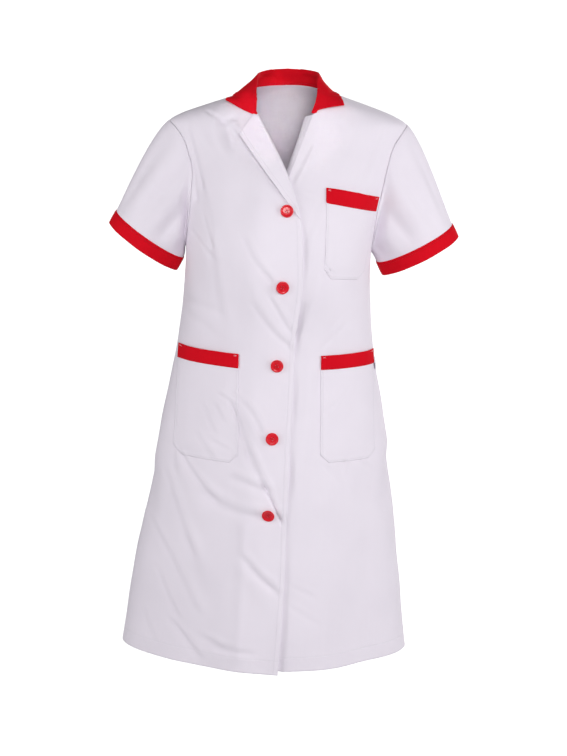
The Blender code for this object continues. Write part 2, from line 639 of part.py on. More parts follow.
def lapel(finish):
    """The turned-out lapel of the right front, from the roll line to its outer edge."""
    down, across = np.linspace(0, 1, LAPEL_ROWS + 1), np.linspace(0, 1, LAPEL_COLUMNS + 1)
    top = COLLAR_END + LAPEL_TOP_GAP
    drop = top + (LAPEL_BREAK - top) * down
    roll = np.stack([along(EDGE_OVER, drop)[:, 0] + 2 * SEAM, drop], -1)
    point, foot = np.array(LAPEL_POINT), np.array(LAPEL_FOOT)
    edge = point + (foot - point) * down[:, None]
    edge[:, 0] -= LAPEL_BELLY * np.sin(math.pi * down)
    places = roll[:, None] + (edge - roll)[:, None] * across[None, :, None]
    straight = roll[0] + (point - roll[0]) * LAPEL_GORGE_AT
    bend = np.interp(across, (0.0, LAPEL_GORGE_AT, 1.0), (0.0, 1.0, 0.0))
    places[0] += bend[:, None] * (np.array(LAPEL_GORGE) - straight)
    x, low = places[..., 0], places[..., 1]
    psi = psi_at(x, low)
    swell = np.sin(math.pi * across)[None] * np.sin(math.pi * (0.15 + 0.8 * down))[:, None]
    rise = overlap(-1, psi, low) + HALF + THIN / 2 + LAPEL_LIFT + LAPEL_SWELL * swell
    outer, inner = cloth(psi, low, rise + THIN / 2), cloth(psi, low, rise - THIN / 2)
    return wall("lapel_right", outer, inner, finish)


def facing(finish):
    """The left front's edge turned in beside the neck opening."""
    down = np.linspace(0, 1, FACING_ROWS + 1)[:, None]
    drop = FACING_TOP + (FACING_FOOT - FACING_TOP) * down[:, 0]
    psi = front_edge(1, drop)
    root = cloth(psi, drop, 0.0)
    way = unit(cloth(psi - np.radians(0.5), drop, 0.0) - root)
    inward = -facing_out(form, psi, drop)
    narrow = 1 - FACING_NARROWING * down
    start = root + way * (SEAM + 0.0002)
    steps = [start]
    for share in (0.35, 0.7, 1.0):
        aside = FACING_WIDTH * math.sin(share * math.pi / 2)
        steps.append(start + (way * aside + inward * FACING_DEPTH * share) * narrow)
    middle = np.moveaxis(np.array(steps), 0, 1)
    out = unit(np.cross(np.gradient(middle, axis=1), np.gradient(middle, axis=0)))
    out[:, 0] = -inward
    outer, inner = middle + out * THIN / 2, middle - out * THIN / 2
    return wall("facing_left", outer, inner, finish)


def pocket_place(row, share, low, height):
    """x and drop inside a pocket, by its share across and its share down."""
    _, in_x, in_drop, out_x, out_drop, in_foot, out_foot, in_low, out_low = row
    top = np.stack([in_x + (out_x - in_x) * share, in_drop + (out_drop - in_drop) * share], -1)
    foot = np.stack([in_foot + (out_foot - in_foot) * share, in_low + (out_low - in_low) * share], -1)
    return top + (foot - top) * (low / height)[..., None]


def on_front(side, places, thick):
    """Outer and inner points of a layer that lies on a front, over its places in x and drop."""
    x, drop = places[..., 0], places[..., 1]
    psi = psi_at(x, drop)
    foot = HALF + 2 * SEAM + overlap(side, psi, drop)
    return cloth(psi, drop, foot + thick), cloth(psi, drop, foot)


def pocket(row, white, red):
    """One patch pocket and the red band along its opening."""
    name, side = row[0], math.copysign(1, row[1])
    height = (row[7] + row[8] - row[2] - row[4]) / 2
    corner = math.copysign(CORNER, row[3] - row[1])
    bounds = psi_at(np.array([row[1], row[1] + corner, row[3] - corner, row[3]]), row[2])
    turns = [np.linspace(low, high, steps, endpoint=False)
             for low, high, steps in zip(bounds, bounds[1:], POCKET_COLUMNS)]
    x = plain_form(np.append(np.concatenate(turns), bounds[-1]), row[2])[:, 0]
    share = ((x - row[1]) / (row[3] - row[1]))[None]
    near = np.minimum(share, 1 - share) * abs(row[3] - row[1])
    short = np.maximum(CORNER - near, 0.0)
    down = np.linspace(0, 1, POCKET_ROWS + 1)[:, None]
    low = BAND + SEAM + (height - short - BAND - SEAM) * down
    outer, inner = on_front(side, pocket_place(row, share + 0 * low, low, height), THIN)
    wall("pocket_" + name, outer, inner, white)
    low = BAND * np.linspace(0, 1, 3)[:, None] + 0 * share
    outer, inner = on_front(side, pocket_place(row, share + 0 * low, low, height), THIN + SEAM)
    wall("band_" + name, outer, inner, red)


def button_mesh(finish):
    """A turned four-hole button with a raised rim, its back on the XY plane."""
    across, thick = BUTTON_ACROSS / 2, BUTTON_THICK
    profile = (
        # radius, height
        (across - BUTTON_ROUND, 0.0), (across, BUTTON_ROUND), (across, thick - BUTTON_ROUND),
        (across - BUTTON_ROUND, thick), (across - BUTTON_RIM, thick),
        (across - BUTTON_RIM - 1.5 * BUTTON_DISH, thick - BUTTON_DISH),
    )
    shape = bmesh.new()
    rings = []
    for radius, height in profile:
        ring = []
        for number in range(BUTTON_SIDES):
            angle = 2 * math.pi * number / BUTTON_SIDES
            place = (radius * math.cos(angle), radius * math.sin(angle), height)
            ring.append(shape.verts.new(place))
        rings.append(ring)
    for low, high in zip(rings, rings[1:]):
        for number in range(BUTTON_SIDES):
            after = (number + 1) % BUTTON_SIDES
            shape.faces.new((low[number], low[after], high[after], high[number]))
    shape.faces.new(rings[0][::-1])
    shape.faces.new(rings[-1])
    mesh = bpy.data.meshes.new("button")
    shape.to_mesh(mesh)
    shape.free()
    disc = finished("button_blank", mesh, finish)
    drills = bmesh.new()
    for number in range(4):
        angle = math.pi / 4 + math.pi / 2 * number
        made = bmesh.ops.create_cone(drills, cap_ends=True, segments=8, radius1=BUTTON_HOLE / 2,
                                     radius2=BUTTON_HOLE / 2, depth=4 * thick)
        offset = (BUTTON_HOLE_RING * math.cos(angle), BUTTON_HOLE_RING * math.sin(angle), 0)
        bmesh.ops.translate(drills, verts=made["verts"], vec=offset)
    drill_mesh = bpy.data.meshes.new("drills")
    drills.to_mesh(drill_mesh)
    drills.free()
    drill = finished("drills", drill_mesh, finish)
    cut = disc.modifiers.new("holes", "BOOLEAN")
    cut.object = drill
    cut.operation = "DIFFERENCE"
    bpy.context.view_layer.update()
    ready = disc.evaluated_get(bpy.context.evaluated_depsgraph_get())
    pierced = bpy.data.meshes.new_from_object(ready)
    bpy.data.objects.remove(disc)
    bpy.data.objects.remove(drill)
    return pierced


def buttons(finish):
    """Five buttons down the upper front, each square to the cloth under it."""
    mesh = button_mesh(finish)
    for number, (x, drop) in enumerate(BUTTONS, 1):
        psi = psi_at(x, drop)
        middle = cloth(psi, drop, 0.0)
        out = facing_out(form, psi, drop)
        down = unit(cloth(psi, drop + 0.005, 0.0) - cloth(psi, drop - 0.005, 0.0))
        made = bpy.data.objects.new(f"button_{number}", mesh)
        bpy.context.scene.collection.objects.link(made)
        lift = OVERLAP_RISE + HALF + BUTTON_SHANK
        turned = np.eye(4)
        turned[:3] = np.stack([np.cross(down, out) * -1, -down, out, middle + out * lift], 1)
        made.matrix_world = Matrix(turned.tolist())


def side_tab(finish):
    """The plain tab that lies forward from the left side seam, under the pocket's band."""
    drop = np.linspace(TAB_DROP, TAB_DROP + TAB_LONG, 4)
    psi = np.radians(np.linspace(*TAB_PSI, 5))
    psi, drop = np.meshgrid(psi, drop)
    lift = HALF + 2 * SEAM + THIN + 2 * SEAM + TAB_THICK / 2
    outer, inner = cloth(psi, drop, lift + TAB_THICK / 2), cloth(psi, drop, lift - TAB_THICK / 2)
    return wall("side_tab", outer, inner, finish)


def main():
    for old in list(bpy.data.objects):
        bpy.data.objects.remove(old)
    white = material("white_cloth", (0.80, 0.78, 0.84), 0.85)
    red = material("red_cloth", (0.66, 0.012, 0.022), 0.80)
    shiny = material("red_button", (0.72, 0.015, 0.03), 0.22)
    back_panel(white)
    for side in (-1, 1):
        front_panel(side, white)
        sleeve(side, white)
        cuff(side, red)
    collar(red)
    lapel(white)
    facing(white)
    for row in POCKETS:
        pocket(row, white, red)
    buttons(shiny)
    side_tab(white)


main()
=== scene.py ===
# %% [markdown]
# # A short-sleeved work tunic, cell by cell
#
# The real tunic is sewn from white poplin, with a red collar, red bands and five red buttons. It is
# shown filled out, as on a wearer who isn't there. This lesson makes every cut piece as a thin shell,
# lays it on one smooth body form, and then adds what sewing adds: folds, pressed edges and stitches.
#
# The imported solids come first, as a fixed frame. Each shell replaces the solid of the same name.

import math

import bmesh
import bpy
import numpy as np
from mathutils import Matrix


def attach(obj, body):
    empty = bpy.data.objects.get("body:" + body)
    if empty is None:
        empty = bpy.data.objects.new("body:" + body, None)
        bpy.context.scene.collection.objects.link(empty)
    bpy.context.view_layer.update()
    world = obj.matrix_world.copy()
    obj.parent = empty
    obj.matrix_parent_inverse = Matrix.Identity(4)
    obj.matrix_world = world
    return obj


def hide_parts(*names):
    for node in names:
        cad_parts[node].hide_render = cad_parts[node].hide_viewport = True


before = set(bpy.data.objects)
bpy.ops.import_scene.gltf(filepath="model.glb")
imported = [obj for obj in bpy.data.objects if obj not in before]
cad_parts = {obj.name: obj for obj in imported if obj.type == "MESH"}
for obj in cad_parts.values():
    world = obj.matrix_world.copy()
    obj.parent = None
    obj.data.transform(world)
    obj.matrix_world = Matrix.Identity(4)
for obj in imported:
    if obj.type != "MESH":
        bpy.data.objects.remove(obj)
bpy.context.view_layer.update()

# %% [markdown]
# ## The camera
#
# The photograph was taken a little to the left of the tunic and looking down by nine degrees. A camera
# could be aimed with a constraint, but three turns and one place are easier to check against the
# outline of the tunic, so its axes are worked out and written straight into its matrix. The small
# function before it puts this and every later object into the scene.

# %% The camera
PHOTO_TALL = 756
FOCAL_PIXELS = 1691.0
SENSOR = 36.0
CAMERA_PLACE = (-0.0893, -2.7983, -0.0300)
CAMERA_TURN, CAMERA_DIP, CAMERA_ROLL = np.radians([-2.0, 9.0, 2.2])


def add_object(name, data):
    """A new object in the scene, with some data."""
    made = bpy.data.objects.new(name, data)
    bpy.context.scene.collection.objects.link(made)
    return made


def aimed(place, right, up, back):
    """A matrix from a place and three axes."""
    matrix = np.eye(4)
    matrix[:3] = np.stack([right, up, back, place], 1)
    return Matrix(matrix.tolist())


def photo_camera():
    """The camera that sees the tunic as in the photograph."""
    ahead = np.array([-math.sin(CAMERA_TURN) * math.cos(CAMERA_DIP),
                      math.cos(CAMERA_TURN) * math.cos(CAMERA_DIP), -math.sin(CAMERA_DIP)])
    level = np.array([math.cos(CAMERA_TURN), math.sin(CAMERA_TURN), 0.0])
    upright = np.cross(level, ahead)
    right = level * math.cos(CAMERA_ROLL) + upright * math.sin(CAMERA_ROLL)
    up = upright * math.cos(CAMERA_ROLL) - level * math.sin(CAMERA_ROLL)
    data = bpy.data.cameras.new("photo_camera")
    data.sensor_fit = "VERTICAL"
    data.sensor_height = SENSOR
    data.lens = FOCAL_PIXELS / PHOTO_TALL * SENSOR
    camera = add_object("photo_camera", data)
    camera.matrix_world = aimed(CAMERA_PLACE, right, up, -ahead)
    return camera


bpy.context.scene.camera = photo_camera()
print("lens:", round(bpy.context.scene.camera.data.lens, 1), "mm")

# %% [markdown]
# ## A small class for shader maths
#
# A finish is easier to read as a formula than as a row of nodes. `Wire` wraps a socket, and each
# operator adds its Math node. `Finish.node` makes any other node from its type, settings and inputs.

# %% Shader maths


class Wire:
    """One socket of a node tree, with Python's operators for its maths."""

    def __init__(self, tree, socket):
        self.tree = tree
        self.socket = socket

    def math(self, operation, *values):
        """A Math node on this socket and some other values."""
        node = self.tree.nodes.new("ShaderNodeMath")
        node.operation = operation
        for place, value in zip(node.inputs, values):
            join(self.tree, place, value)
        return Wire(self.tree, node.outputs[0])

    def __add__(self, other):
        return self.math("ADD", self, other)

    def __radd__(self, other):
        return self.math("ADD", other, self)

    def __sub__(self, other):
        return self.math("SUBTRACT", self, other)

    def __rsub__(self, other):
        return self.math("SUBTRACT", other, self)

    def __mul__(self, other):
        return self.math("MULTIPLY", self, other)

    def __rmul__(self, other):
        return self.math("MULTIPLY", other, self)

    def __truediv__(self, other):
        return self.math("DIVIDE", self, other)

    def sine(self):
        """Its sine, in radians."""
        return self.math("SINE", self)

    def bell(self, breadth):
        """1 where it is 0, and falling to 0 on both sides."""
        scaled = self / breadth
        return self.math("EXPONENT", scaled * scaled * -1.0)

    def step(self, low, high):
        """0 below low and 1 above high, softly between."""
        node = self.tree.nodes.new("ShaderNodeMapRange")
        node.interpolation_type = "SMOOTHSTEP"
        for label, value in (("Value", self), ("From Min", low), ("From Max", high)):
            join(self.tree, node.inputs[label], value)
        return Wire(self.tree, node.outputs["Result"])


def join(tree, place, value):
    """Links a wire to an input, or sets a plain value on it."""
    if isinstance(value, Wire):
        tree.links.new(value.socket, place)
    else:
        place.default_value = value


# %% A material's tree
class Finish:
    """A Principled material whose other nodes are made by name."""

    def __init__(self, name):
        self.material = bpy.data.materials.new(name)
        self.material.use_nodes = True
        self.tree = self.material.node_tree
        self.shader = self.tree.nodes["Principled BSDF"]

    def node(self, kind, settings, inputs, output=0):
        """A node of some type, with its settings made first and then its inputs."""
        node = self.tree.nodes.new(kind)
        for label, value in settings.items():
            setattr(node, label, value)
        for label, value in inputs.items():
            join(self.tree, node.inputs[label], value)
        return Wire(self.tree, node.outputs[output])

    def place(self):
        """The object's own coordinates."""
        return self.node("ShaderNodeTexCoord", {}, {}, 3)

    def parts(self, vector):
        """The three parts of a vector."""
        split = self.node("ShaderNodeSeparateXYZ", {}, {"Vector": vector}).socket.node
        return [Wire(self.tree, part) for part in split.outputs]

    def noise(self, vector, scale, detail=2.0):
        """Noise from 0 to 1 on some coordinates."""
        return self.node("ShaderNodeTexNoise", {}, {"Vector": vector, "Scale": scale, "Detail": detail})

    def blend(self, factor, low, high):
        """A colour between two others."""
        node = self.tree.nodes.new("ShaderNodeMix")
        node.data_type = "RGBA"
        join(self.tree, node.inputs[0], factor)
        join(self.tree, node.inputs[6], low)
        join(self.tree, node.inputs[7], high)
        return Wire(self.tree, node.outputs[2])

    def bump(self, height, distance, strength, below=None):
        """A Bump node on a height, over another normal where there is one."""
        inputs = {"Height": height, "Distance": distance, "Strength": strength}
        if below is not None:
            inputs["Normal"] = below
        return self.node("ShaderNodeBump", {}, inputs)

    def set(self, **values):
        """Values or wires for the shader's sockets, with _ for a space."""
        for label, value in values.items():
            join(self.tree, self.shader.inputs[label.replace("_", " ")], value)


print("finishes are written as formulas from here on")

# %% [markdown]
# ## Studio light and backdrop
#
# The cloth is brightest down the middle and on the viewer's right, and greyer on top of the shoulders
# and in every fold that faces down. So the large soft light stands in front, a little above the camera,
# a second one stands at the right, and a narrow one reaches into the neck. White cloth keeps its shape
# only if the fill is weak. The backdrop is a bowl of pale paper all round, so that every view has the
# same soft ground, and it glows strongly only in the patch that the camera sees behind the tunic.

# %% Studio light and backdrop
LIGHTS = (
    # name, place x, y, z, aim x, y, z, width, height, power, spread in degrees
    ("key", 0.20, -2.75, 0.56, 0.00, 0.00, -0.45, 1.00, 0.80, 39.0, 180.0),
    ("side", 2.30, -1.10, -0.10, 0.00, 0.00, -0.50, 1.10, 1.80, 30.0, 180.0),
    ("fill", -2.20, -1.20, -0.10, 0.00, 0.00, -0.50, 1.20, 1.80, 23.0, 180.0),
    ("neck", -0.02, -1.90, -0.10, 0.00, 0.06, -0.03, 0.11, 0.07, 0.019, 4.6),
    ("back", 1.40, 2.40, 0.80, 0.00, 0.00, -0.40, 1.20, 1.00, 30.0, 180.0),
)
FLOOR = -1.75
BOWL = (
    # radius, height of the paper's section
    (3.5, 0.00), (4.1, 0.03), (4.6, 0.12), (5.1, 0.30), (5.5, 0.55), (5.8, 0.85), (6.1, 1.30),
    (6.3, 1.80), (6.4, 2.40), (6.5, 7.00),
)
BOWL_SIDES = 96
PALE, BRIGHT = 0.10, 1.00        # glow of the paper all round, and behind the tunic


def soft_light(name, place, aim, size, power, spread):
    """One rectangular softbox, turned towards its aim."""
    data = bpy.data.lights.new(name, "AREA")
    data.shape = "RECTANGLE"
    data.size, data.size_y = size
    data.energy = power
    data.spread = math.radians(spread)
    light = add_object(name, data)
    back = np.array(place, float) - np.array(aim, float)
    back /= np.linalg.norm(back)
    right = np.cross([0.0, 0.0, 1.0], back)
    right /= np.linalg.norm(right)
    light.matrix_world = aimed(place, right, np.cross(back, right), back)


for row in LIGHTS:
    soft_light(row[0], row[1:4], row[4:7], row[7:9], row[9], row[10])

world = bpy.data.worlds.new("studio")
world.use_nodes = True
world.node_tree.nodes["Background"].inputs["Color"].default_value = (0.94, 0.95, 1.0, 1.0)
world.node_tree.nodes["Background"].inputs["Strength"].default_value = 0.14
bpy.context.scene.world = world
bpy.context.scene.view_settings.view_transform = "Standard"

around = 2 * math.pi * np.arange(BOWL_SIDES) / BOWL_SIDES
bowl = [(r * math.cos(a), r * math.sin(a), FLOOR + z) for r, z in BOWL for a in around]
strips = [(n * BOWL_SIDES + k, (n + 1) * BOWL_SIDES + k,
           (n + 1) * BOWL_SIDES + (k + 1) % BOWL_SIDES, n * BOWL_SIDES + (k + 1) % BOWL_SIDES)
          for n in range(len(BOWL) - 1) for k in range(BOWL_SIDES)]
sweep_mesh = bpy.data.meshes.new("paper_sweep")
sweep_mesh.from_pydata(bowl, [], [tuple(range(BOWL_SIDES)), *strips])
sweep_mesh.shade_smooth()
sweep = add_object("paper_sweep", sweep_mesh)

paper = Finish("pale_paper")
x, y, z = paper.parts(paper.place())
behind = y.step(0.8, 1.5) * (1.0 - (x * x).step(5.0, 10.0)) * (1.0 - z.step(0.8, 1.8))
paper.set(Base_Color=(0.36, 0.36, 0.37, 1.0), Roughness=0.9, Emission_Strength=1.0,
          Emission_Color=paper.blend(behind, (PALE, PALE, PALE, 1.0), (BRIGHT, BRIGHT, BRIGHT, 1.0)))
sweep_mesh.materials.append(paper.material)
print("lights:", len(LIGHTS))

# %% [markdown]
# ## The body form
#
# All panels lie on one form. A place on it is given by `psi`, the angle round it from the front towards
# the wearer's left, and by `drop`, the distance below the origin between the shoulders. A short table
# gives half width and depth at each level, and a smooth curve through its rows fills the rest. The
# solids were made from the same tables, so every shell lands inside its solid.

# %% Tables of the body form
SHOULDER_TIP = 0.052
UNDERARM = 0.255
COLLAR_END = 0.038
HEM = 0.934
BACK_NECK = -0.0085
BODY = (
    # drop, half width, front depth, back depth, fullness, sideways shift
    (-0.016, 0.0400, 0.0460, 0.0560, 0.000, -0.0030),
    (0.000, 0.0630, 0.0500, 0.0610, 0.000, -0.0030),
    (0.012, 0.0950, 0.0550, 0.0670, 0.000, -0.0025),
    (0.026, 0.1355, 0.0605, 0.0730, 0.000, -0.0020),
    (0.040, 0.1725, 0.0660, 0.0790, 0.000, -0.0010),
    (0.052, 0.1930, 0.0710, 0.0840, 0.000, 0.0000),
    (0.066, 0.1960, 0.0780, 0.0890, 0.000, 0.0000),
    (0.085, 0.1900, 0.0870, 0.0950, 0.000, -0.0010),
    (0.120, 0.1800, 0.1020, 0.1020, 0.005, -0.0020),
    (0.160, 0.1690, 0.1180, 0.1060, 0.010, -0.0040),
    (0.200, 0.1600, 0.1310, 0.1070, 0.010, -0.0060),
    (0.250, 0.1532, 0.1380, 0.1050, 0.012, -0.0085),
    (0.310, 0.1532, 0.1350, 0.1000, 0.012, -0.0080),
    (0.360, 0.1560, 0.1270, 0.0970, 0.000, -0.0076),
    (0.420, 0.1640, 0.1230, 0.1000, -0.015, -0.0066),
    (0.500, 0.1787, 0.1290, 0.1120, -0.030, -0.0058),
    (0.600, 0.1960, 0.1390, 0.1270, -0.045, -0.0056),
    (0.700, 0.2100, 0.1460, 0.1370, -0.055, -0.0062),
    (0.800, 0.2250, 0.1520, 0.1450, -0.062, -0.0074),
    (0.900, 0.2382, 0.1580, 0.1520, -0.065, -0.0080),
    (0.960, 0.2465, 0.1615, 0.1560, -0.065, -0.0080),
)
RAISE = 0.0065            # the wearer's left shoulder sits higher
RAISE_X = (-0.120, 0.160)
RAISE_DROP = (0.050, 0.210)
NECK_BACK = (
    # psi in degrees, drop
    (90.0, 0.000), (120.0, -0.003), (150.0, -0.007), (180.0, BACK_NECK),
)
NECK_FRONT = (
    # drop, psi on the wearer's right, psi on the wearer's left, both in degrees
    (0.000, -90.0, 90.0), (0.005, -65.0, 64.0), (0.012, -55.5, 54.0), (0.022, -47.0, 44.0),
    (COLLAR_END, -39.5, 34.0),
)
EDGE_OVER = (
    # drop, x of the roll line and then of the front edge, on the front that lies over
    (COLLAR_END, -0.0515), (0.080, -0.0285), (0.1225, -0.0065), (0.1460, 0.0040),
    (0.170, 0.0125), (0.204, 0.0205), (0.254, 0.0240), (0.310, 0.0260), (0.365, 0.0205),
    (0.472, 0.0192), (0.564, 0.0177), (0.626, 0.0170), (0.741, 0.0165), (0.853, 0.0139),
    (0.960, 0.0095),
)
EDGE_UNDER = (
    # drop, x, on the front that lies under
    (COLLAR_END, 0.0370), (0.080, 0.0215), (0.1225, 0.0050), (0.1350, 0.0000),
    (0.160, -0.0110), (0.190, -0.0210), (0.254, -0.0265), (0.365, -0.0300), (0.472, -0.0330),
    (0.626, -0.0370), (0.853, -0.0420), (0.960, -0.0440),
)
HEM_RISE_RIGHT = 0.0030
HEM_RISE_LEFT = 0.0060
HEM_RISE_OVER = -0.0025
HEM_RISE_UNDER = 0.0060
ARMHOLE_FRONT = (19.5, 15.5)    # degrees forward of the side, on the wearer's right and left
ARMHOLE_BACK = 18.0


# %% Curves through a table
def along(rows, key):
    """The values of a table at some keys, on a smooth curve through its rows."""
    table = np.array(rows, float)
    keys, values = table[:, 0], table[:, 1:]
    slopes = np.gradient(values, keys, axis=0)
    key = np.clip(np.asarray(key, float), keys[0], keys[-1])
    low = np.clip(np.searchsorted(keys, key, side="right") - 1, 0, len(keys) - 2)
    step = keys[low + 1] - keys[low]
    t = ((key - keys[low]) / step)[..., None]
    step = step[..., None]
    rise = 3 * t**2 - 2 * t**3
    start = (t**3 - 2 * t**2 + t) * step * slopes[low]
    end = (t**3 - t**2) * step * slopes[low + 1]
    return values[low] * (1 - rise) + values[low + 1] * rise + start + end


def smooth_step(value, low, high):
    """Goes from 0 at low to 1 at high, softly."""
    t = np.clip((np.asarray(value, float) - low) / (high - low), 0.0, 1.0)
    return t * t * (3 - 2 * t)


def unit(vectors):
    """The same vectors, each one metre long."""
    return vectors / np.maximum(np.linalg.norm(vectors, axis=-1, keepdims=True), 1e-12)


print("half width at the waist:", round(float(along(BODY, 0.36)[0]), 3))


# %% Places on the body form
def reach_at(psi, drop):
    """Distance of the body form from its upright axis, and that axis's sideways shift."""
    half, front, back, fullness, shift = np.moveaxis(along(BODY, drop), -1, 0)
    side, ahead = np.sin(psi), np.cos(psi)
    depth = np.where(ahead > 0, front, back)
    oval = 1 / np.hypot(side / half, ahead / depth)
    turn = np.arctan2(side / half, ahead / depth)
    return oval * (1 + fullness * np.sin(2 * turn)**2), shift


def raised(x, drop):
    """How much the higher shoulder lifts a place."""
    return RAISE * smooth_step(x, *RAISE_X) * (1 - smooth_step(drop, *RAISE_DROP))


def plain_form(psi, drop):
    """The body form before its folds: points at some angles, in radians, and drops."""
    psi, drop = np.broadcast_arrays(np.asarray(psi, float), np.asarray(drop, float))
    reach, shift = reach_at(psi, drop)
    x, y = shift + reach * np.sin(psi), -reach * np.cos(psi)
    return np.stack([x, y, raised(x, drop) - drop], -1)


def facing_out(form, psi, drop):
    """The outward normals of a form."""
    turn, fall = 0.004, 0.0008
    across = form(psi + turn, drop) - form(psi - turn, drop)
    down = form(psi, drop + fall) - form(psi, drop - fall)
    return unit(np.cross(down, across))


def psi_at(x, drop):
    """The angle of a place on the front, from its x, by halving the range that holds it."""
    x, drop = np.broadcast_arrays(np.asarray(x, float), np.asarray(drop, float))
    low, high = np.full(x.shape, -math.pi / 2), np.full(x.shape, math.pi / 2)
    for _ in range(32):
        psi = (low + high) / 2
        reach, shift = reach_at(psi, drop)
        short = shift + reach * np.sin(psi) < x
        low, high = np.where(short, psi, low), np.where(short, high, psi)
    return (low + high) / 2


def by_side(side, right, left):
    """One of two things, by the wearer's side: -1 is the right and 1 the left."""
    return right if side < 0 else left


def front_edge(side, drop):
    """The angle of a front's inner edge: the neck seam, the roll line, then the front edge."""
    drop = np.asarray(drop, float)
    neck = np.radians(along(NECK_FRONT, drop))[..., by_side(side, 0, 1)]
    x = along(by_side(side, EDGE_OVER, EDGE_UNDER), drop)[..., 0]
    return np.where(drop < COLLAR_END, neck, psi_at(x, drop))


def armhole(side, angle):
    """psi and drop round an armhole, from the shoulder tip towards the front."""
    forward = np.sin(angle)
    reach = np.where(forward > 0, by_side(side, *ARMHOLE_FRONT), ARMHOLE_BACK)
    middle, half = (SHOULDER_TIP + UNDERARM) / 2, (UNDERARM - SHOULDER_TIP) / 2
    psi = side * (math.pi / 2 - np.radians(reach) * forward)
    return psi, middle - half * np.cos(angle)


print("side of the neck at", np.round(plain_form(math.pi / 2, 0.0), 3))
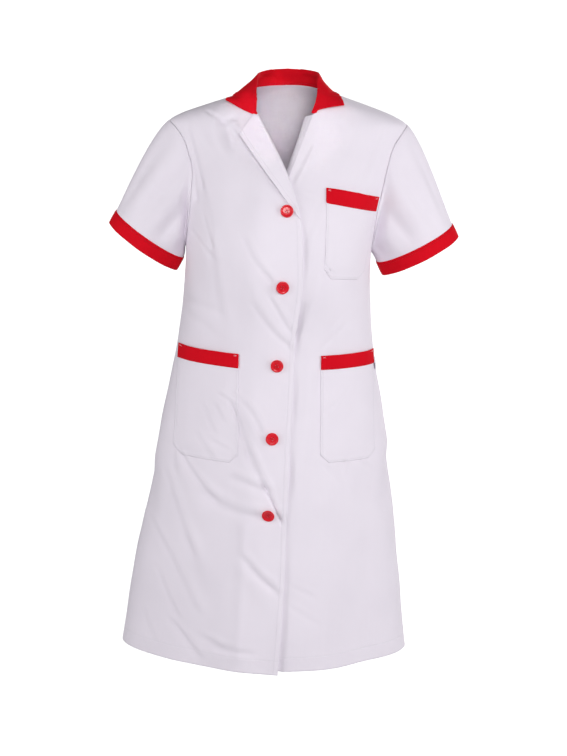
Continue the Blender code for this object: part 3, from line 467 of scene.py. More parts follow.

# %% [markdown]
# ## Folds and creases
#
# Worn poplin keeps a handful of clear creases: pulls that run to a button, a fold from the pocket's
# foot, drapes down the skirt. They could come from a cloth simulation, but the photograph shows where
# each one lies, so they are placed one by one. A row gives a crease's two ends, how far its middle bows
# aside, its half breadth and its height. Most creases aren't plain grooves: the cloth is higher on one
# side than on the other, which is the lean. Hidden sides get similar ones. The rows are grouped by the
# face that they lie on, so a crease of the front never shows on the back.

# %% Table of folds
FOLDS = {
    # x and drop at one end, x and drop at the other, bow of the middle, half breadth at each end,
    # rise and lean, all in millimetres, then the share of both at each end
    "front": (
        # shaping by the cut
        (-72, 235, -70, 262, 0, 60, 60, 7.5, 0, 1, 1), (62, 235, 60, 262, 0, 60, 60, 7.5, 0, 1, 1),
        # right front: from the hip pocket's foot towards button 5
        (-153, 592, -105, 650, -2, 4, 10, -0.8, 2, 0.8, 1),
        (-105, 650, -36, 670, -6, 11, 9, -0.6, 2.2, 1, 0.5),
        (-160, 600, -128, 676, 0, 8, 14, 1.6, 0, 0.7, 1),
        # right front: between buttons 4 and 5
        (-73.5, 504, -42, 579, 0, 4, 7, -0.8, 1.8, 0.7, 1), (-42, 579, -17, 627, 0, 8, 7, 0, 1.8, 1, 0.9),
        (-62, 617, -20, 630, 0, 9, 8, -0.4, 2, 0.8, 1), (-18, 625, 10, 684, 0, 4.5, 3, -1.2, 1.6, 1, 0.9),
        (-69, 487, -26, 540, 7, 6, 6, 0, 1.3, 0.8, 0.7), (-70, 494, -30, 560, 3, 6, 8, 1.2, 0, 1, 0.6),
        # right hip pocket and beside it
        (-99, 506, -88, 524, 0, 4, 5, 0, 0.6, 1, 0.8), (-120, 508, -103, 542, 0, 5, 6, 0, 0.7, 0.7, 0.9),
        (-91, 486, -68, 499, 0, 4, 4, 0, 0.7, 1, 0.8), (-124, 559, -107, 582, 0, 6, 7, 0, 0.9, 0.8, 1),
        (-105, 560, -87, 568, 0, 5, 5, 0, 0.7, 1, 0.8),
        (-166, 590, -165, 620, 0, 4, 6, -0.6, 0.9, 0.8, 0.8),
        # right front: below button 5
        (-44, 748, 1, 791, -2, 7, 8, -0.4, 1.9, 0.7, 1), (-50, 770, -14, 812, 0, 10, 12, 1.2, 0, 0.8, 0.6),
        (-52.5, 700, -56, 905, 0, 7, 9, 1.3, 0.4, 0.8, 0.9), (-24, 672.5, -1, 674, 0, 11, 11, 0, 2, 1, 1),
        # right skirt
        (-159, 664, -111, 770, -6, 12, 20, 1.7, 0, 0.8, 0.7),
        (-176, 630, -134, 736, 0, 6, 10, 0, 1.7, 0.6, 1), (-134, 736, -112, 800, 0, 10, 14, 0, 1.5, 1, 0.3),
        (-204, 706, -124, 834, 3, 6, 10, 0, 1.6, 0.5, 1),
        (-188, 789, -156, 852, 0, 4, 6, -0.5, 1.3, 0.7, 1), (-160, 870, -124, 908, 0, 5, 9, -1, 2, 0.8, 1),
        (-107, 884, -88, 890, 0, 6, 6, -0.4, 1.4, 0.8, 1), (-82, 896, -36, 899, 0, 8, 6, -0.4, 1.8, 1, 0.4),
        (-209, 864, -195, 898, 0, 5, 6, -0.4, 1.1, 0.7, 1),
        (-150, 876, -130, 935, 0, 14, 18, -1.6, 0, 0.4, 1), (-75, 800, -60, 940, 0, 26, 34, 3.6, 0, 0.2, 1),
        (-105, 790, -100, 940, 0, 16, 24, -2.4, 0, 0.3, 1),
        # right front above the waist
        (-60, 235, -20, 292, -4, 5, 6, -0.3, 1.4, 0.6, 1), (-20, 321, 10, 368, 0, 5, 6, 0, 1.1, 0.7, 1),
        (-42, 336, 10, 396, -4, 6, 7, 0, 1.2, 0.6, 1), (-52, 300, -20, 350, 0, 9, 9, 0.7, 0, 0.8, 1),
        (-152, 342, -100, 352, 2, 7, 7, -0.8, 0.4, 1, 0.5),
        (-146, 366, -104, 390, 2, 7, 8, -0.6, 0.4, 1, 0.5),
        (-112, 236, -95, 352, 0, 8, 10, 0.6, 1.5, 0.8, 0.8),
        (-130, 202, -112, 245, 0, 3, 4, -0.4, 0.9, 0.8, 1),
        (-146, 230, -112, 264, 0, 3, 4, -0.4, 0.9, 0.7, 1),
        (-122, 226, -100, 262, 0, 5, 5, 0.6, 0, 0.8, 0.6),
        (-150, 130, -128, 300, -4, 16, 18, -1.8, 0.8, 1, 0.8),
        (-20, 420, -40, 475, 0, 10, 12, 0.7, 0, 0.8, 0.5),
        # by the armhole and the shoulder
        (-160, 64, -136, 150, 0, 5, 8, -1.2, 1.5, 0.7, 1),
        (-136, 150, -118, 215, 0, 9, 12, -0.8, 1.2, 1, 0.3),
        (-157, 118, -147, 175, 0, 4, 5, -2.6, 0.6, 0.5, 1), (-134, 43, -116, 86, 0, 6, 8, 1.2, 0, 1, 0.5),
        (-150, 52, -108, 106, 0, 8, 11, 0, 1.3, 0.6, 0.9), (-131, 38, -104, 52, 0, 3, 4, -2, 0.6, 0.7, 1),
        (-112, 55, -92, 46, 0, 3, 4, -2.2, 0.6, 0.8, 1), (-104, 50, -86, 56, 0, 4, 4, 1.6, 0, 0.6, 1),
        (-122, 46, -118, 66, 0, 6, 7, 1.8, 0.6, 1, 0.6), (-97, 72, -94, 82, 0, 7, 8, -2.6, 0, 1, 1),
        (-96, 90, -70, 196, 6, 16, 22, -1.2, 0.8, 1, 0.5),
        # left front
        (155, 60, 116, 149, 0, 6, 8, -0.3, 1.6, 0.6, 1), (130, 66, 102, 149, 0, 9, 9, 0.9, 0, 0.7, 0.8),
        (34, 92, 12, 138, 0, 5, 5, 0, 0.9, 0.8, 0.8), (78, 60, 90, 82, 0, 8, 8, -1.4, 0, 1, 0.8),
        (30, 165, 58, 174, 0, 4, 4, 0, -0.7, 0.8, 1), (52, 181, 37, 229, 0, 7, 7, 0, 1, 0.7, 0.9),
        (62, 234, 18, 396, 5, 9, 10, -0.3, 1.4, 0.5, 0.8), (56, 300, 34, 390, 3, 10, 10, 0.9, 0, 0.6, 0.8),
        (55, 267, 69, 281, 0, 2.5, 2.5, -0.4, -0.8, 1, 1),
        (104, 371, 69, 404, 0, 3.5, 4, -0.3, 1.1, 0.9, 1), (98, 350, 82, 372, 0, 4, 5, 0, 0.6, 0.6, 0.9),
        (44, 420, 36, 560, 0, 10, 12, 0, 0.9, 0.6, 0.8), (64, 530, 58, 640, 0, 8, 10, -0.9, 0, 0.8, 0.5),
        (103, 478, 81, 508, 2, 3, 4, -0.2, 0.9, 0.7, 1), (82, 598, 100, 618, 0, 4, 5, -0.3, 0.8, 1, 0.6),
        (112, 596, 122, 632, 0, 5, 6, -0.3, 0.9, 1, 0.5), (140, 594, 157, 606, 0, 4, 5, -0.3, 0.9, 1, 0.6),
        (110, 600, 94, 706, 0, 11, 16, -1.2, 0.4, 1, 0.6), (36, 792, 61, 805, 0, 3.5, 4, -0.3, 0.9, 0.8, 1),
        (34, 826, 70, 850, 0, 4, 5, -0.2, 0.8, 0.8, 0.6), (62, 640, 56, 780, 0, 14, 18, -1.2, 0, 0.8, 0.8),
        (85, 660, 100, 940, 0, 20, 34, 4, 0, 0.2, 1), (46, 850, 50, 940, 0, 14, 20, -2.4, 0, 0.3, 1),
        (150, 640, 158, 940, 4, 20, 28, -3.8, 0, 0.6, 1),
    ),
    "side": (
        # dents in the outline
        (191, 600, 186, 660, 0, 12, 12, -3.6, 0, 1, 0.8),
        (-205, 640, -206, 690, 0, 12, 12, -2.6, 0, 1, 0.9),
    ),
    "back": (
        # shaping by the cut
        (-60, 330, 60, 365, 0, 30, 30, -3, 0, 1, 1),
        # below the shoulder blades, at the waist and down the skirt
        (-105, 150, -80, 330, 6, 16, 20, -1.6, -2.4, 1, 0.9),
        (108, 140, 75, 330, -6, 16, 20, -1.8, 2.4, 0.9, 1),
        (-66, 120, -50, 270, 4, 12, 14, 0.6, -1, 0.8, 0.6),
        (70, 118, 46, 290, -4, 12, 14, 0.7, 1, 0.7, 0.8), (-112, 296, -20, 350, 4, 6, 9, -0.8, 1.6, 1, 0.6),
        (114, 284, 30, 336, -4, 7, 9, -0.8, -1.6, 0.9, 0.6),
        (-100, 340, 12, 386, 4, 6, 10, -0.7, 1.4, 1, 0.7),
        (94, 368, -6, 404, 3, 6, 9, -0.6, -1.3, 0.9, 0.6), (-74, 384, -30, 412, 0, 5, 6, 0, 0.9, 0.8, 1),
        (36, 262, 70, 238, 0, 6, 7, 0, -0.9, 0.6, 1), (-30, 400, -50, 940, 0, 20, 38, 7, 0, 0.4, 1),
        (-72, 430, -96, 940, 0, 14, 22, -3.2, -1.2, 0.5, 1),
        (-105, 460, -140, 940, 0, 16, 26, -4.6, 1, 0.5, 1), (10, 420, 8, 940, 4, 14, 24, -4, 0, 0.4, 1),
        (45, 430, 70, 940, 0, 22, 38, 7, 0, 0.4, 1), (88, 470, 118, 940, 0, 14, 22, -3.6, 1.2, 0.5, 1),
        (125, 500, 168, 940, 0, 16, 26, -4.2, -1, 0.5, 1), (-20, 640, 30, 680, 0, 8, 9, 0, 1.2, 0.6, 0.9),
        (-150, 700, -110, 760, 0, 7, 9, 0, 1.2, 0.7, 1),
    ),
}
print("folds:", {face: len(rows) for face, rows in FOLDS.items()})


# %% The folded form
LEAN_PEAK = 1.65         # makes a leaning fold as high at its best as an upright one
CRISP = 1.7              # how much steeper the narrowest folds are than the table's soft ones
CRISP_BREADTH = 0.014
FOLD_END = 1.6           # length over which a fold runs out beyond its end, in half breadths
FACE_FADE = (0.02, 0.30)         # cosines of psi between which the folds of a face fade in
SIDE_BEHIND, SIDE_BEFORE = (-0.75, -0.10), (0.45, 0.85)


def fold_height(row, x, low):
    """Height of one fold at places given by x and drop."""
    x0, drop0, x1, drop1, bow, breadth0, breadth1, rise, lean = np.array(row[:9]) / 1000
    share0, share1 = row[9:]
    way = np.array([x1 - x0, drop1 - drop0])
    length = math.hypot(*way)
    over = ((x - x0) * way[0] + (low - drop0) * way[1]) / length**2
    t = np.clip(over, 0, 1)
    aside = ((x - x0) * way[1] - (low - drop0) * way[0]) / length - bow * 4 * t * (1 - t)
    beyond = (over - t) * length
    breadth = breadth0 + (breadth1 - breadth0) * t
    flank = aside / breadth
    crisp = 1 + (CRISP - 1) * np.exp(-(breadth / CRISP_BREADTH)**2)
    height = crisp * (rise + lean * LEAN_PEAK * flank) * (share0 + (share1 - share0) * t)
    return height * np.exp(-flank**2 - (beyond / (FOLD_END * breadth))**2)


DRIFTS = (
    # turns round the body, waves per metre of drop, phase, height
    (5, 3.1, 0.4, 0.00055), (8, 4.7, 2.1, 0.00045), (11, 2.3, 4.0, 0.00040), (3, 8.9, 1.2, 0.00045),
    (14, 6.1, 5.3, 0.00025), (7, 13.0, 3.3, 0.00020),
)


def relief(psi, drop):
    """Height of all folds at some places, with a slight drift that no cloth is without."""
    place = plain_form(psi, drop)
    x, low, ahead = place[..., 0], -place[..., 2], np.cos(psi)
    fades = {"front": smooth_step(ahead, *FACE_FADE), "back": smooth_step(-ahead, *FACE_FADE),
             "side": smooth_step(ahead, *SIDE_BEHIND) * (1 - smooth_step(ahead, *SIDE_BEFORE))}
    height = sum(fade * sum(fold_height(row, x, low) for row in FOLDS[face])
                 for face, fade in fades.items())
    for turns, waves, phase, rise in DRIFTS:
        height = height + rise * np.sin(turns * psi + phase) * np.cos(2 * math.pi * waves * low + phase)
    return height


def form(psi, drop):
    """The body form with its folds, the middle of the cloth."""
    out = facing_out(plain_form, psi, drop)
    return plain_form(psi, drop) + out * relief(psi, drop)[..., None]


def cloth(psi, drop, lift):
    """Points at a height above the middle of the cloth."""
    psi, drop = np.broadcast_arrays(np.asarray(psi, float), np.asarray(drop, float))
    return form(psi, drop) + facing_out(form, psi, drop) * np.asarray(lift)[..., None]


heights = relief(np.radians(np.linspace(-80, 80, 161))[None], np.linspace(0.1, 0.9, 161)[:, None])
print("folds on the front from", round(heights.min() * 1000, 1), "to", round(heights.max() * 1000, 1), "mm")

# %% [markdown]
# ## How the fronts lie on each other
#
# The right front closes over the left. Where it does, it rises by two thicknesses of cloth. Between
# two buttons nothing holds the edge down, so it bows out a little, most between buttons 2 and 3 and
# at the hem, and the cloth below sinks away beside it.

# %% Overlap of the fronts
OVERLAP_RISE = 0.0026
OVERLAP_FROM, OVERLAP_TO = -0.074, -0.040
BUTTONS = (
    # x, drop
    (-0.0010, 0.1893), (-0.0037, 0.3054), (-0.0072, 0.4341), (-0.0110, 0.5517), (-0.0124, 0.6725),
)
EDGE_BOWS = (
    # upper drop, lower drop, height of the bow
    (0.1893, 0.3054, 0.0022), (0.3054, 0.4341, 0.0040), (0.4341, 0.5517, 0.0020),
    (0.5517, 0.6725, 0.0026), (0.6725, 1.2000, 0.0034),
)
EDGE_BOW_REACH = 0.036
EDGE_SINK = 1.1          # how far the front below sinks beside the edge, against the edge's bow


def front_lift(side, psi, drop):
    """How far a front lies above the form, where it overlaps and where its edge bows out."""
    psi, drop = np.broadcast_arrays(np.asarray(psi, float), np.asarray(drop, float))
    x = plain_form(psi, drop)[..., 0]
    inside = along(EDGE_OVER, drop)[..., 0] - x
    if side > 0:
        rise = np.zeros(psi.shape)
        near = -EDGE_SINK * np.exp(-((inside + 0.0030) / 0.0036)**2)
    else:
        rise = OVERLAP_RISE * smooth_step(x, OVERLAP_FROM, OVERLAP_TO) * smooth_step(drop, 0.03, 0.11)
        near = np.clip(1 - inside / EDGE_BOW_REACH, 0, 1)**2
    for upper, lower, height in EDGE_BOWS:
        t = np.clip((drop - upper) / (lower - upper), 0, 1)
        rise = rise + height * near * np.sin(math.pi * t)**2
    return rise


print("rise of the edge between buttons 2 and 3:",
      round(float(front_lift(-1, psi_at(0.022, 0.37), 0.37)) * 1000, 1), "mm")

# %% [markdown]
# ## One builder for every cloth piece
#
# A cut piece is a grid of points in the middle of its cloth. The builder moves the grid out and in by
# half the cloth's thickness and closes the two sides with a rounded rim, which reads as a pressed edge.
# A Solidify modifier would do much the same, but the rim would be square. The builder also lays a UV
# map in metres, so that the weave has its true size, and keeps for each point its distance to the
# piece's stitch lines, so that the finish can sink a line of stitches exactly where they run.

# %% Builder of a shell
FAR = 1.0        # distance to a stitch line that a piece doesn't have


def grid_normals(middle, ring):
    """Normals of a grid of points, towards the side that its shell calls outer."""
    if ring:
        across = np.roll(middle, -1, 1) - np.roll(middle, 1, 1)
    else:
        across = np.gradient(middle, axis=1)
    return unit(np.cross(np.gradient(middle, axis=0), across))


def lengths_down(grid):
    """Distances down the columns of a grid, from its first row."""
    steps = np.linalg.norm(np.diff(grid, axis=0), axis=-1)
    return np.concatenate([np.zeros((1, grid.shape[1])), np.cumsum(steps, 0)])


def arc_lengths(middle, anchor, ring):
    """Distances in metres along the rows and down the columns of a grid."""
    closed = np.concatenate([middle, middle[:, :1]], 1) if ring else middle
    u = lengths_down(closed.swapaxes(0, 1)).T
    v = lengths_down(middle[:, [anchor]])
    return np.stack([u - u[:, [anchor]], -np.broadcast_to(v, u.shape)], -1)


def border(rows, columns, ring):
    """The loops of grid places round a shell's rims."""
    top = [(0, c) for c in range(columns)]
    bottom = [(rows - 1, c) for c in reversed(range(columns))]
    if ring:
        return [top, bottom]
    right = [(r, columns - 1) for r in range(1, rows - 1)]
    left = [(r, 0) for r in reversed(range(1, rows - 1))]
    return [top + right + bottom + left]


def rim_way(middle, row, column, ring):
    """The direction in which a rim leaves the grid at one of its places."""
    rows, columns = middle.shape[:2]
    way = np.zeros(3)
    if row in (0, rows - 1):
        way += middle[row, column] - middle[1 if row == 0 else rows - 2, column]
    if not ring and column in (0, columns - 1):
        way += middle[row, column] - middle[row, 1 if column == 0 else columns - 2]
    return way / max(np.linalg.norm(way), 1e-9)


# %% Builder of a shell, its mesh
def shell(name, middle, half, finish, lines=(), ring=False, anchor=0):
    """A thin wall of cloth round a grid of middle points, with rounded rims."""
    rows, columns = middle.shape[:2]
    count = rows * columns
    out = grid_normals(middle, ring) * np.broadcast_to(half, (rows, columns))[..., None]
    uv = arc_lengths(middle, anchor, ring)
    marks = np.full((rows, columns, 3), FAR)
    for slot, distance in enumerate(lines):
        marks[..., slot] = distance
    ids = np.arange(count).reshape(rows, columns)
    wide = np.concatenate([ids, ids[:, :1]], 1) if ring else ids
    quads = np.stack([wide[:-1, :-1], wide[1:, :-1], wide[1:, 1:], wide[:-1, 1:]], -1).reshape(-1, 4)
    corners = np.stack([uv[:-1, :-1], uv[1:, :-1], uv[1:, 1:], uv[:-1, 1:]], 2).reshape(-1, 4, 2)
    points = [(middle + out).reshape(-1, 3), (middle - out).reshape(-1, 3)]
    faces, face_uv = [quads, quads[:, ::-1] + count], [corners, corners[:, ::-1]]
    point_marks = [marks.reshape(-1, 3)] * 2
    start = 2 * count
    for loop in border(rows, columns, ring):
        places = np.array([ids[place] for place in loop])
        rim = np.array([middle[r, c] + rim_way(middle, r, c, ring) * np.linalg.norm(out[r, c]) * 0.9
                        for r, c in loop])
        after = np.roll(places, -1)
        rim_ids = start + np.arange(len(loop))
        rim_after = np.roll(rim_ids, -1)
        faces.append(np.stack([places, after, rim_after, rim_ids], -1))
        faces.append(np.stack([rim_ids, rim_after, after + count, places + count], -1))
        flat = np.array([uv[place] for place in loop])
        flat = np.stack([flat, np.roll(flat, -1, 0), np.roll(flat, -1, 0), flat], 1)
        face_uv += [flat, flat]
        points.append(rim)
        point_marks.append(np.array([marks[place] for place in loop]))
        start += len(loop)
    mesh = bpy.data.meshes.new(name)
    mesh.from_pydata(np.concatenate(points).tolist(), [], np.concatenate(faces).tolist())
    mesh.uv_layers.new(name="cut").data.foreach_set("uv", np.concatenate(face_uv).ravel())
    mesh.attributes.new("lines", "FLOAT_VECTOR", "POINT").data.foreach_set(
        "vector", np.concatenate(point_marks).ravel())
    mesh.shade_smooth()
    mesh.materials.append(finish)
    return add_object(name, mesh)


def cloth_area(middle, ring=False):
    """Area of the cloth along its middle, in square metres."""
    closed = np.concatenate([middle, middle[:, :1]], 1) if ring else middle
    across, down = np.diff(closed, axis=1)[:-1], np.diff(closed, axis=0)[:, :-1]
    return float(np.linalg.norm(np.cross(across, down), axis=-1).sum())


pieces, areas = {}, {}


def cut_piece(name, middle, half, finish, lines=(), ring=False, anchor=0, made_as="cloth"):
    """Makes and keeps one cut piece and its area."""
    areas[name] = cloth_area(middle, ring)
    pieces[name] = shell(f"{name}_{made_as}", middle, half, finish, lines, ring, anchor)


print("the builder is ready")

# %% [markdown]
# ## The poplin
#
# Work tunics are cut from a matt polyester and cotton poplin: a plain weave of fine yarns, about 28 to
# the centimetre, with a slub here and there. At arm's length the weave shows only as a soft grain, so
# its bump is a few hundredths of a millimetre. Sewn lines sink into the cloth and pucker it, and a
# turned hem stands up by one thickness. Both read the distances that the builder kept. The white is
# slightly cool, as optical brightener makes it.

# %% The poplin
YARN = 0.00036          # pitch of the yarns
GROOVE = 0.0009         # half breadth of a sewn line's groove
STEP = 0.0012           # breadth of the step at a turned hem's upper edge
YELLOWING = (1.04, 1.02, 0.96, 1.0)


def poplin(name, colour, shade, sheen_colour, slub, shine, sheen):
    """Woven cloth of one colour, its darker tone for mottle, slubs and grain and for shade painted along
    sewn lines, how strongly slubs show, and its gloss.
    """
    made = Finish(name)
    uv = made.node("ShaderNodeUVMap", {"uv_map": "cut"}, {})
    u, v, _ = made.parts(uv)
    turns = 2 * math.pi / YARN
    weave = (u * turns).sine() * (v * turns).sine()
    lines = made.node("ShaderNodeAttribute", {"attribute_name": "lines"}, {}, 1)
    edge, hem, other = made.parts(lines)
    groove = edge.bell(GROOVE) + hem.bell(GROOVE) + other.bell(GROOVE)
    near = edge.bell(0.0075) + hem.bell(0.0085) + other.bell(0.0055)
    turned = 1.0 - hem.step(0.0004, 0.0004 + STEP)
    stretched = made.node("ShaderNodeMapping", {}, {"Vector": uv, "Scale": (260.0, 9.0, 1.0)})
    slubs = made.noise(stretched, 1.0)
    puckers = made.noise(uv, 95.0)
    mottle = made.noise(made.place(), 14.0, 3.0)
    grain = made.noise(uv, 900.0)
    warm = made.noise(made.place(), 5.0, 1.0)
    # Mottle, slubs and grain are the cloth's own random tone; the groove term is painted shade, darkening
    # the colour along the sewn lines.
    tone_and_seam_shade = (0.5 - mottle) * 0.5 + (0.5 - slubs) * slub + groove * 0.16 + (0.5 - grain) * 0.12 + 0.28
    base = made.blend(tone_and_seam_shade.step(0.0, 1.0), colour, shade)
    worn = tuple(part * change for part, change in zip(shade, YELLOWING))
    yellowed = made.blend(warm.step(0.55, 0.85) * 0.10, base, worn)
    soft = made.bump(puckers * near, 0.0011, 0.55)
    sewn = made.bump(turned * 0.5 - groove, 0.00028, 0.9, soft)
    woven = made.bump(weave * 0.5 + slubs * 0.8 + grain * 0.5, 0.00004, 0.45, sewn)
    made.set(Base_Color=yellowed, Roughness=0.80 + (mottle - 0.5) * 0.12, Normal=woven,
             Sheen_Weight=sheen, Sheen_Roughness=0.45, Sheen_Tint=sheen_colour, Specular_IOR_Level=shine)
    return made.material


white_poplin = poplin("white_poplin", (0.826, 0.772, 0.848, 1.0), (0.735, 0.684, 0.762, 1.0),
                      (1.0, 1.0, 1.0, 1.0), 0.10, 0.20, 0.10)
red_poplin = poplin("red_poplin", (0.690, 0.0045, 0.0150, 1.0), (0.500, 0.0020, 0.0080, 1.0),
                    (1.0, 0.20, 0.20, 1.0), 0.25, 0.05, 0.03)
print("poplin:", white_poplin.name, red_poplin.name)

# %% [markdown]
# ## The two fronts
#
# Each front is cut from the shoulder and armhole down to the hem. Its grid has a yoke between the
# shoulder, the armhole and the neck, and a skirt below. Columns stand closer together near the edge,
# and rows near the hem, where the cloth is pressed. The stitches run 7 mm from the front edge and
# 23 mm above the hem.

# %% Grids for the body panels
CLOTH_HALF = 0.00050
SEAM = 0.0003
EDGE_STITCH = 0.0070
HEM_STITCH = 0.0230
NECK_CROWDING = 1.25
YOKE_ROWS = 58
yoke_share = np.linspace(0, 1, YOKE_ROWS + 1)
skirt_drops = np.concatenate([np.linspace(UNDERARM, HEM - 0.030, 146)[1:],
                              np.linspace(HEM - 0.030, HEM, 13)[1:]])
front_share = np.concatenate([np.linspace(0, 0.80, 46)[:-1], np.linspace(0.80, 1, 25)])
back_share = np.linspace(0, 1, 117)


def seam_angle(side, drop):
    """psi of a front's side seam, half a seam's gap short of the side."""
    half, depth = along(BODY, drop)[..., 0], along(BODY, drop)[..., 1]
    return side * (math.pi / 2 - SEAM / 2 / np.minimum(half, depth))


def hemmed(psi, drop, corner=0.0):
    """Drops of a skirt's rows, eased so that the last one follows the hem."""
    sides = np.where(np.sin(psi) < 0, HEM_RISE_RIGHT, HEM_RISE_LEFT) * np.sin(psi)**2
    low = (drop - UNDERARM) / (HEM - UNDERARM)
    return drop - (sides + corner) * low**2


def patch(top, bottom, start, end, across, down):
    """A grid of places between four edges, each an array of psi and drop."""
    across, down = across[None, :, None], down[:, None, None]
    ruled = top[None] * (1 - down) + bottom[None] * down
    sides = start[:, None] * (1 - across) + end[:, None] * across
    flat = (top[0] * (1 - across) + top[-1] * across) * (1 - down)
    flat = flat + (bottom[0] * (1 - across) + bottom[-1] * across) * down
    return ruled + sides - flat


def front_places(side):
    """psi and drop over one front, from its side seam to its inner edge."""
    seam_drop = SHOULDER_TIP * (1 - front_share)
    top = np.stack([seam_angle(side, seam_drop), seam_drop], -1)
    arm_psi, arm_drop = armhole(side, yoke_share * math.pi)
    arm_psi = side * np.minimum(side * arm_psi, side * seam_angle(side, arm_drop))
    start = np.stack([arm_psi, arm_drop], -1)
    inner_drop = UNDERARM * yoke_share**NECK_CROWDING
    end = np.stack([front_edge(side, inner_drop), inner_drop], -1)
    floor_psi = start[-1, 0] + (end[-1, 0] - start[-1, 0]) * front_share
    bottom = np.stack([floor_psi, np.full(len(front_share), UNDERARM)], -1)
    yoke = patch(top, bottom, start, end, front_share, yoke_share)
    outer, inner = seam_angle(side, skirt_drops), front_edge(side, skirt_drops)
    psi = outer[:, None] + (inner - outer)[:, None] * front_share[None]
    corner = by_side(side, HEM_RISE_OVER, HEM_RISE_UNDER) * front_share[None]**5
    skirt = np.stack([psi, hemmed(psi, skirt_drops[:, None], corner)], -1)
    return np.concatenate([yoke, skirt])


def hem_distance(drop):
    """Distance of each row above the hem's stitches. The last row is the hem itself."""
    return drop[-1][None] - drop - HEM_STITCH


# %% The two fronts
def front(side):
    """One front as a thin shell."""
    places = front_places(side)
    psi, drop = places[..., 0], places[..., 1]
    middle = cloth(psi, drop, front_lift(side, psi, drop))
    x = plain_form(psi, drop)[..., 0]
    edge_x = along(by_side(side, EDGE_OVER, EDGE_UNDER), drop)[..., 0]
    inside = (edge_x - x) * -side
    lapel_zone = smooth_step(drop, 0.190, 0.200)
    edge_line = (inside - EDGE_STITCH) * lapel_zone + FAR * (1 - lapel_zone)
    cut_piece(by_side(side, "front_right", "front_left"), middle, CLOTH_HALF, white_poplin,
              (edge_line, hem_distance(drop)), anchor=len(front_share) - 1)


front(-1)
front(1)
print("fronts:", {name: round(area, 3) for name, area in areas.items()}, "square metres")

# %% [markdown]
# ## The back
#
# The back is one piece, from side seam to side seam, flared to the hem. The same places that end the
# fronts at the shoulders and sides begin it, so the seams meet.

# %% The back


def neck_back(side_share):
    """psi and drop round the back of the neck, from -1 at the right side to 1 at the left."""
    rows = [(psi - 90.0, drop) for psi, drop in NECK_BACK]
    drop = along(rows, 90.0 * (1 - np.abs(side_share)))[..., 0]
    return np.radians(90.0 + 90.0 * (1 - side_share)), drop


def back_places():
    """psi and drop over the back, round the centre back at 180 degrees."""
    shoulder = np.linspace(0, 1, 40)[:-1]
    neck = np.linspace(1, -1, len(back_share) - 2 * len(shoulder))
    left_drop = SHOULDER_TIP * (1 - shoulder)
    left = np.stack([math.pi - seam_angle(1, left_drop), left_drop], -1)
    neck_psi, neck_drop = neck_back(neck)
    gap = math.pi / 2 - seam_angle(1, 0.0)
    neck_psi = np.clip(neck_psi, math.pi / 2 + gap, 1.5 * math.pi - gap)
    right = left[::-1] * np.array([-1, 1]) + np.array([2 * math.pi, 0])
    top = np.concatenate([left, np.stack([neck_psi, neck_drop], -1), right])
    arm_psi, arm_drop = armhole(1, -yoke_share * math.pi)
    arm_psi = np.maximum(arm_psi, math.pi - seam_angle(1, arm_drop))
    start = np.stack([arm_psi, arm_drop], -1)
    end = start * np.array([-1, 1]) + np.array([2 * math.pi, 0])
    floor_psi = start[-1, 0] + (end[-1, 0] - start[-1, 0]) * back_share
    bottom = np.stack([floor_psi, np.full(len(back_share), UNDERARM)], -1)
    yoke = patch(top, bottom, start, end, back_share, yoke_share)
    first = math.pi - seam_angle(1, skirt_drops)
    psi = first[:, None] + (2 * math.pi - 2 * first)[:, None] * back_share[None]
    return np.concatenate([yoke, np.stack([psi, hemmed(psi, skirt_drops[:, None])], -1)])


places = back_places()
cut_piece("back", cloth(places[..., 0], places[..., 1], 0.0), CLOTH_HALF, white_poplin,
          (FAR, hem_distance(places[..., 1])), anchor=len(back_share) // 2)
print("back:", round(areas["back"], 3), "square metres")

# %% [markdown]
# ## Sleeves and their bands
#
# A short set-in sleeve is a tube. Its root follows the armhole and its foot is the tilted oval of the
# red band. Between them each line of the tube is a curve with a chosen direction at both ends, which
# gives a round sleeve head and a flat underarm. Folds run down from the shoulder and gather at the
# underarm, as they do when the arm hangs.

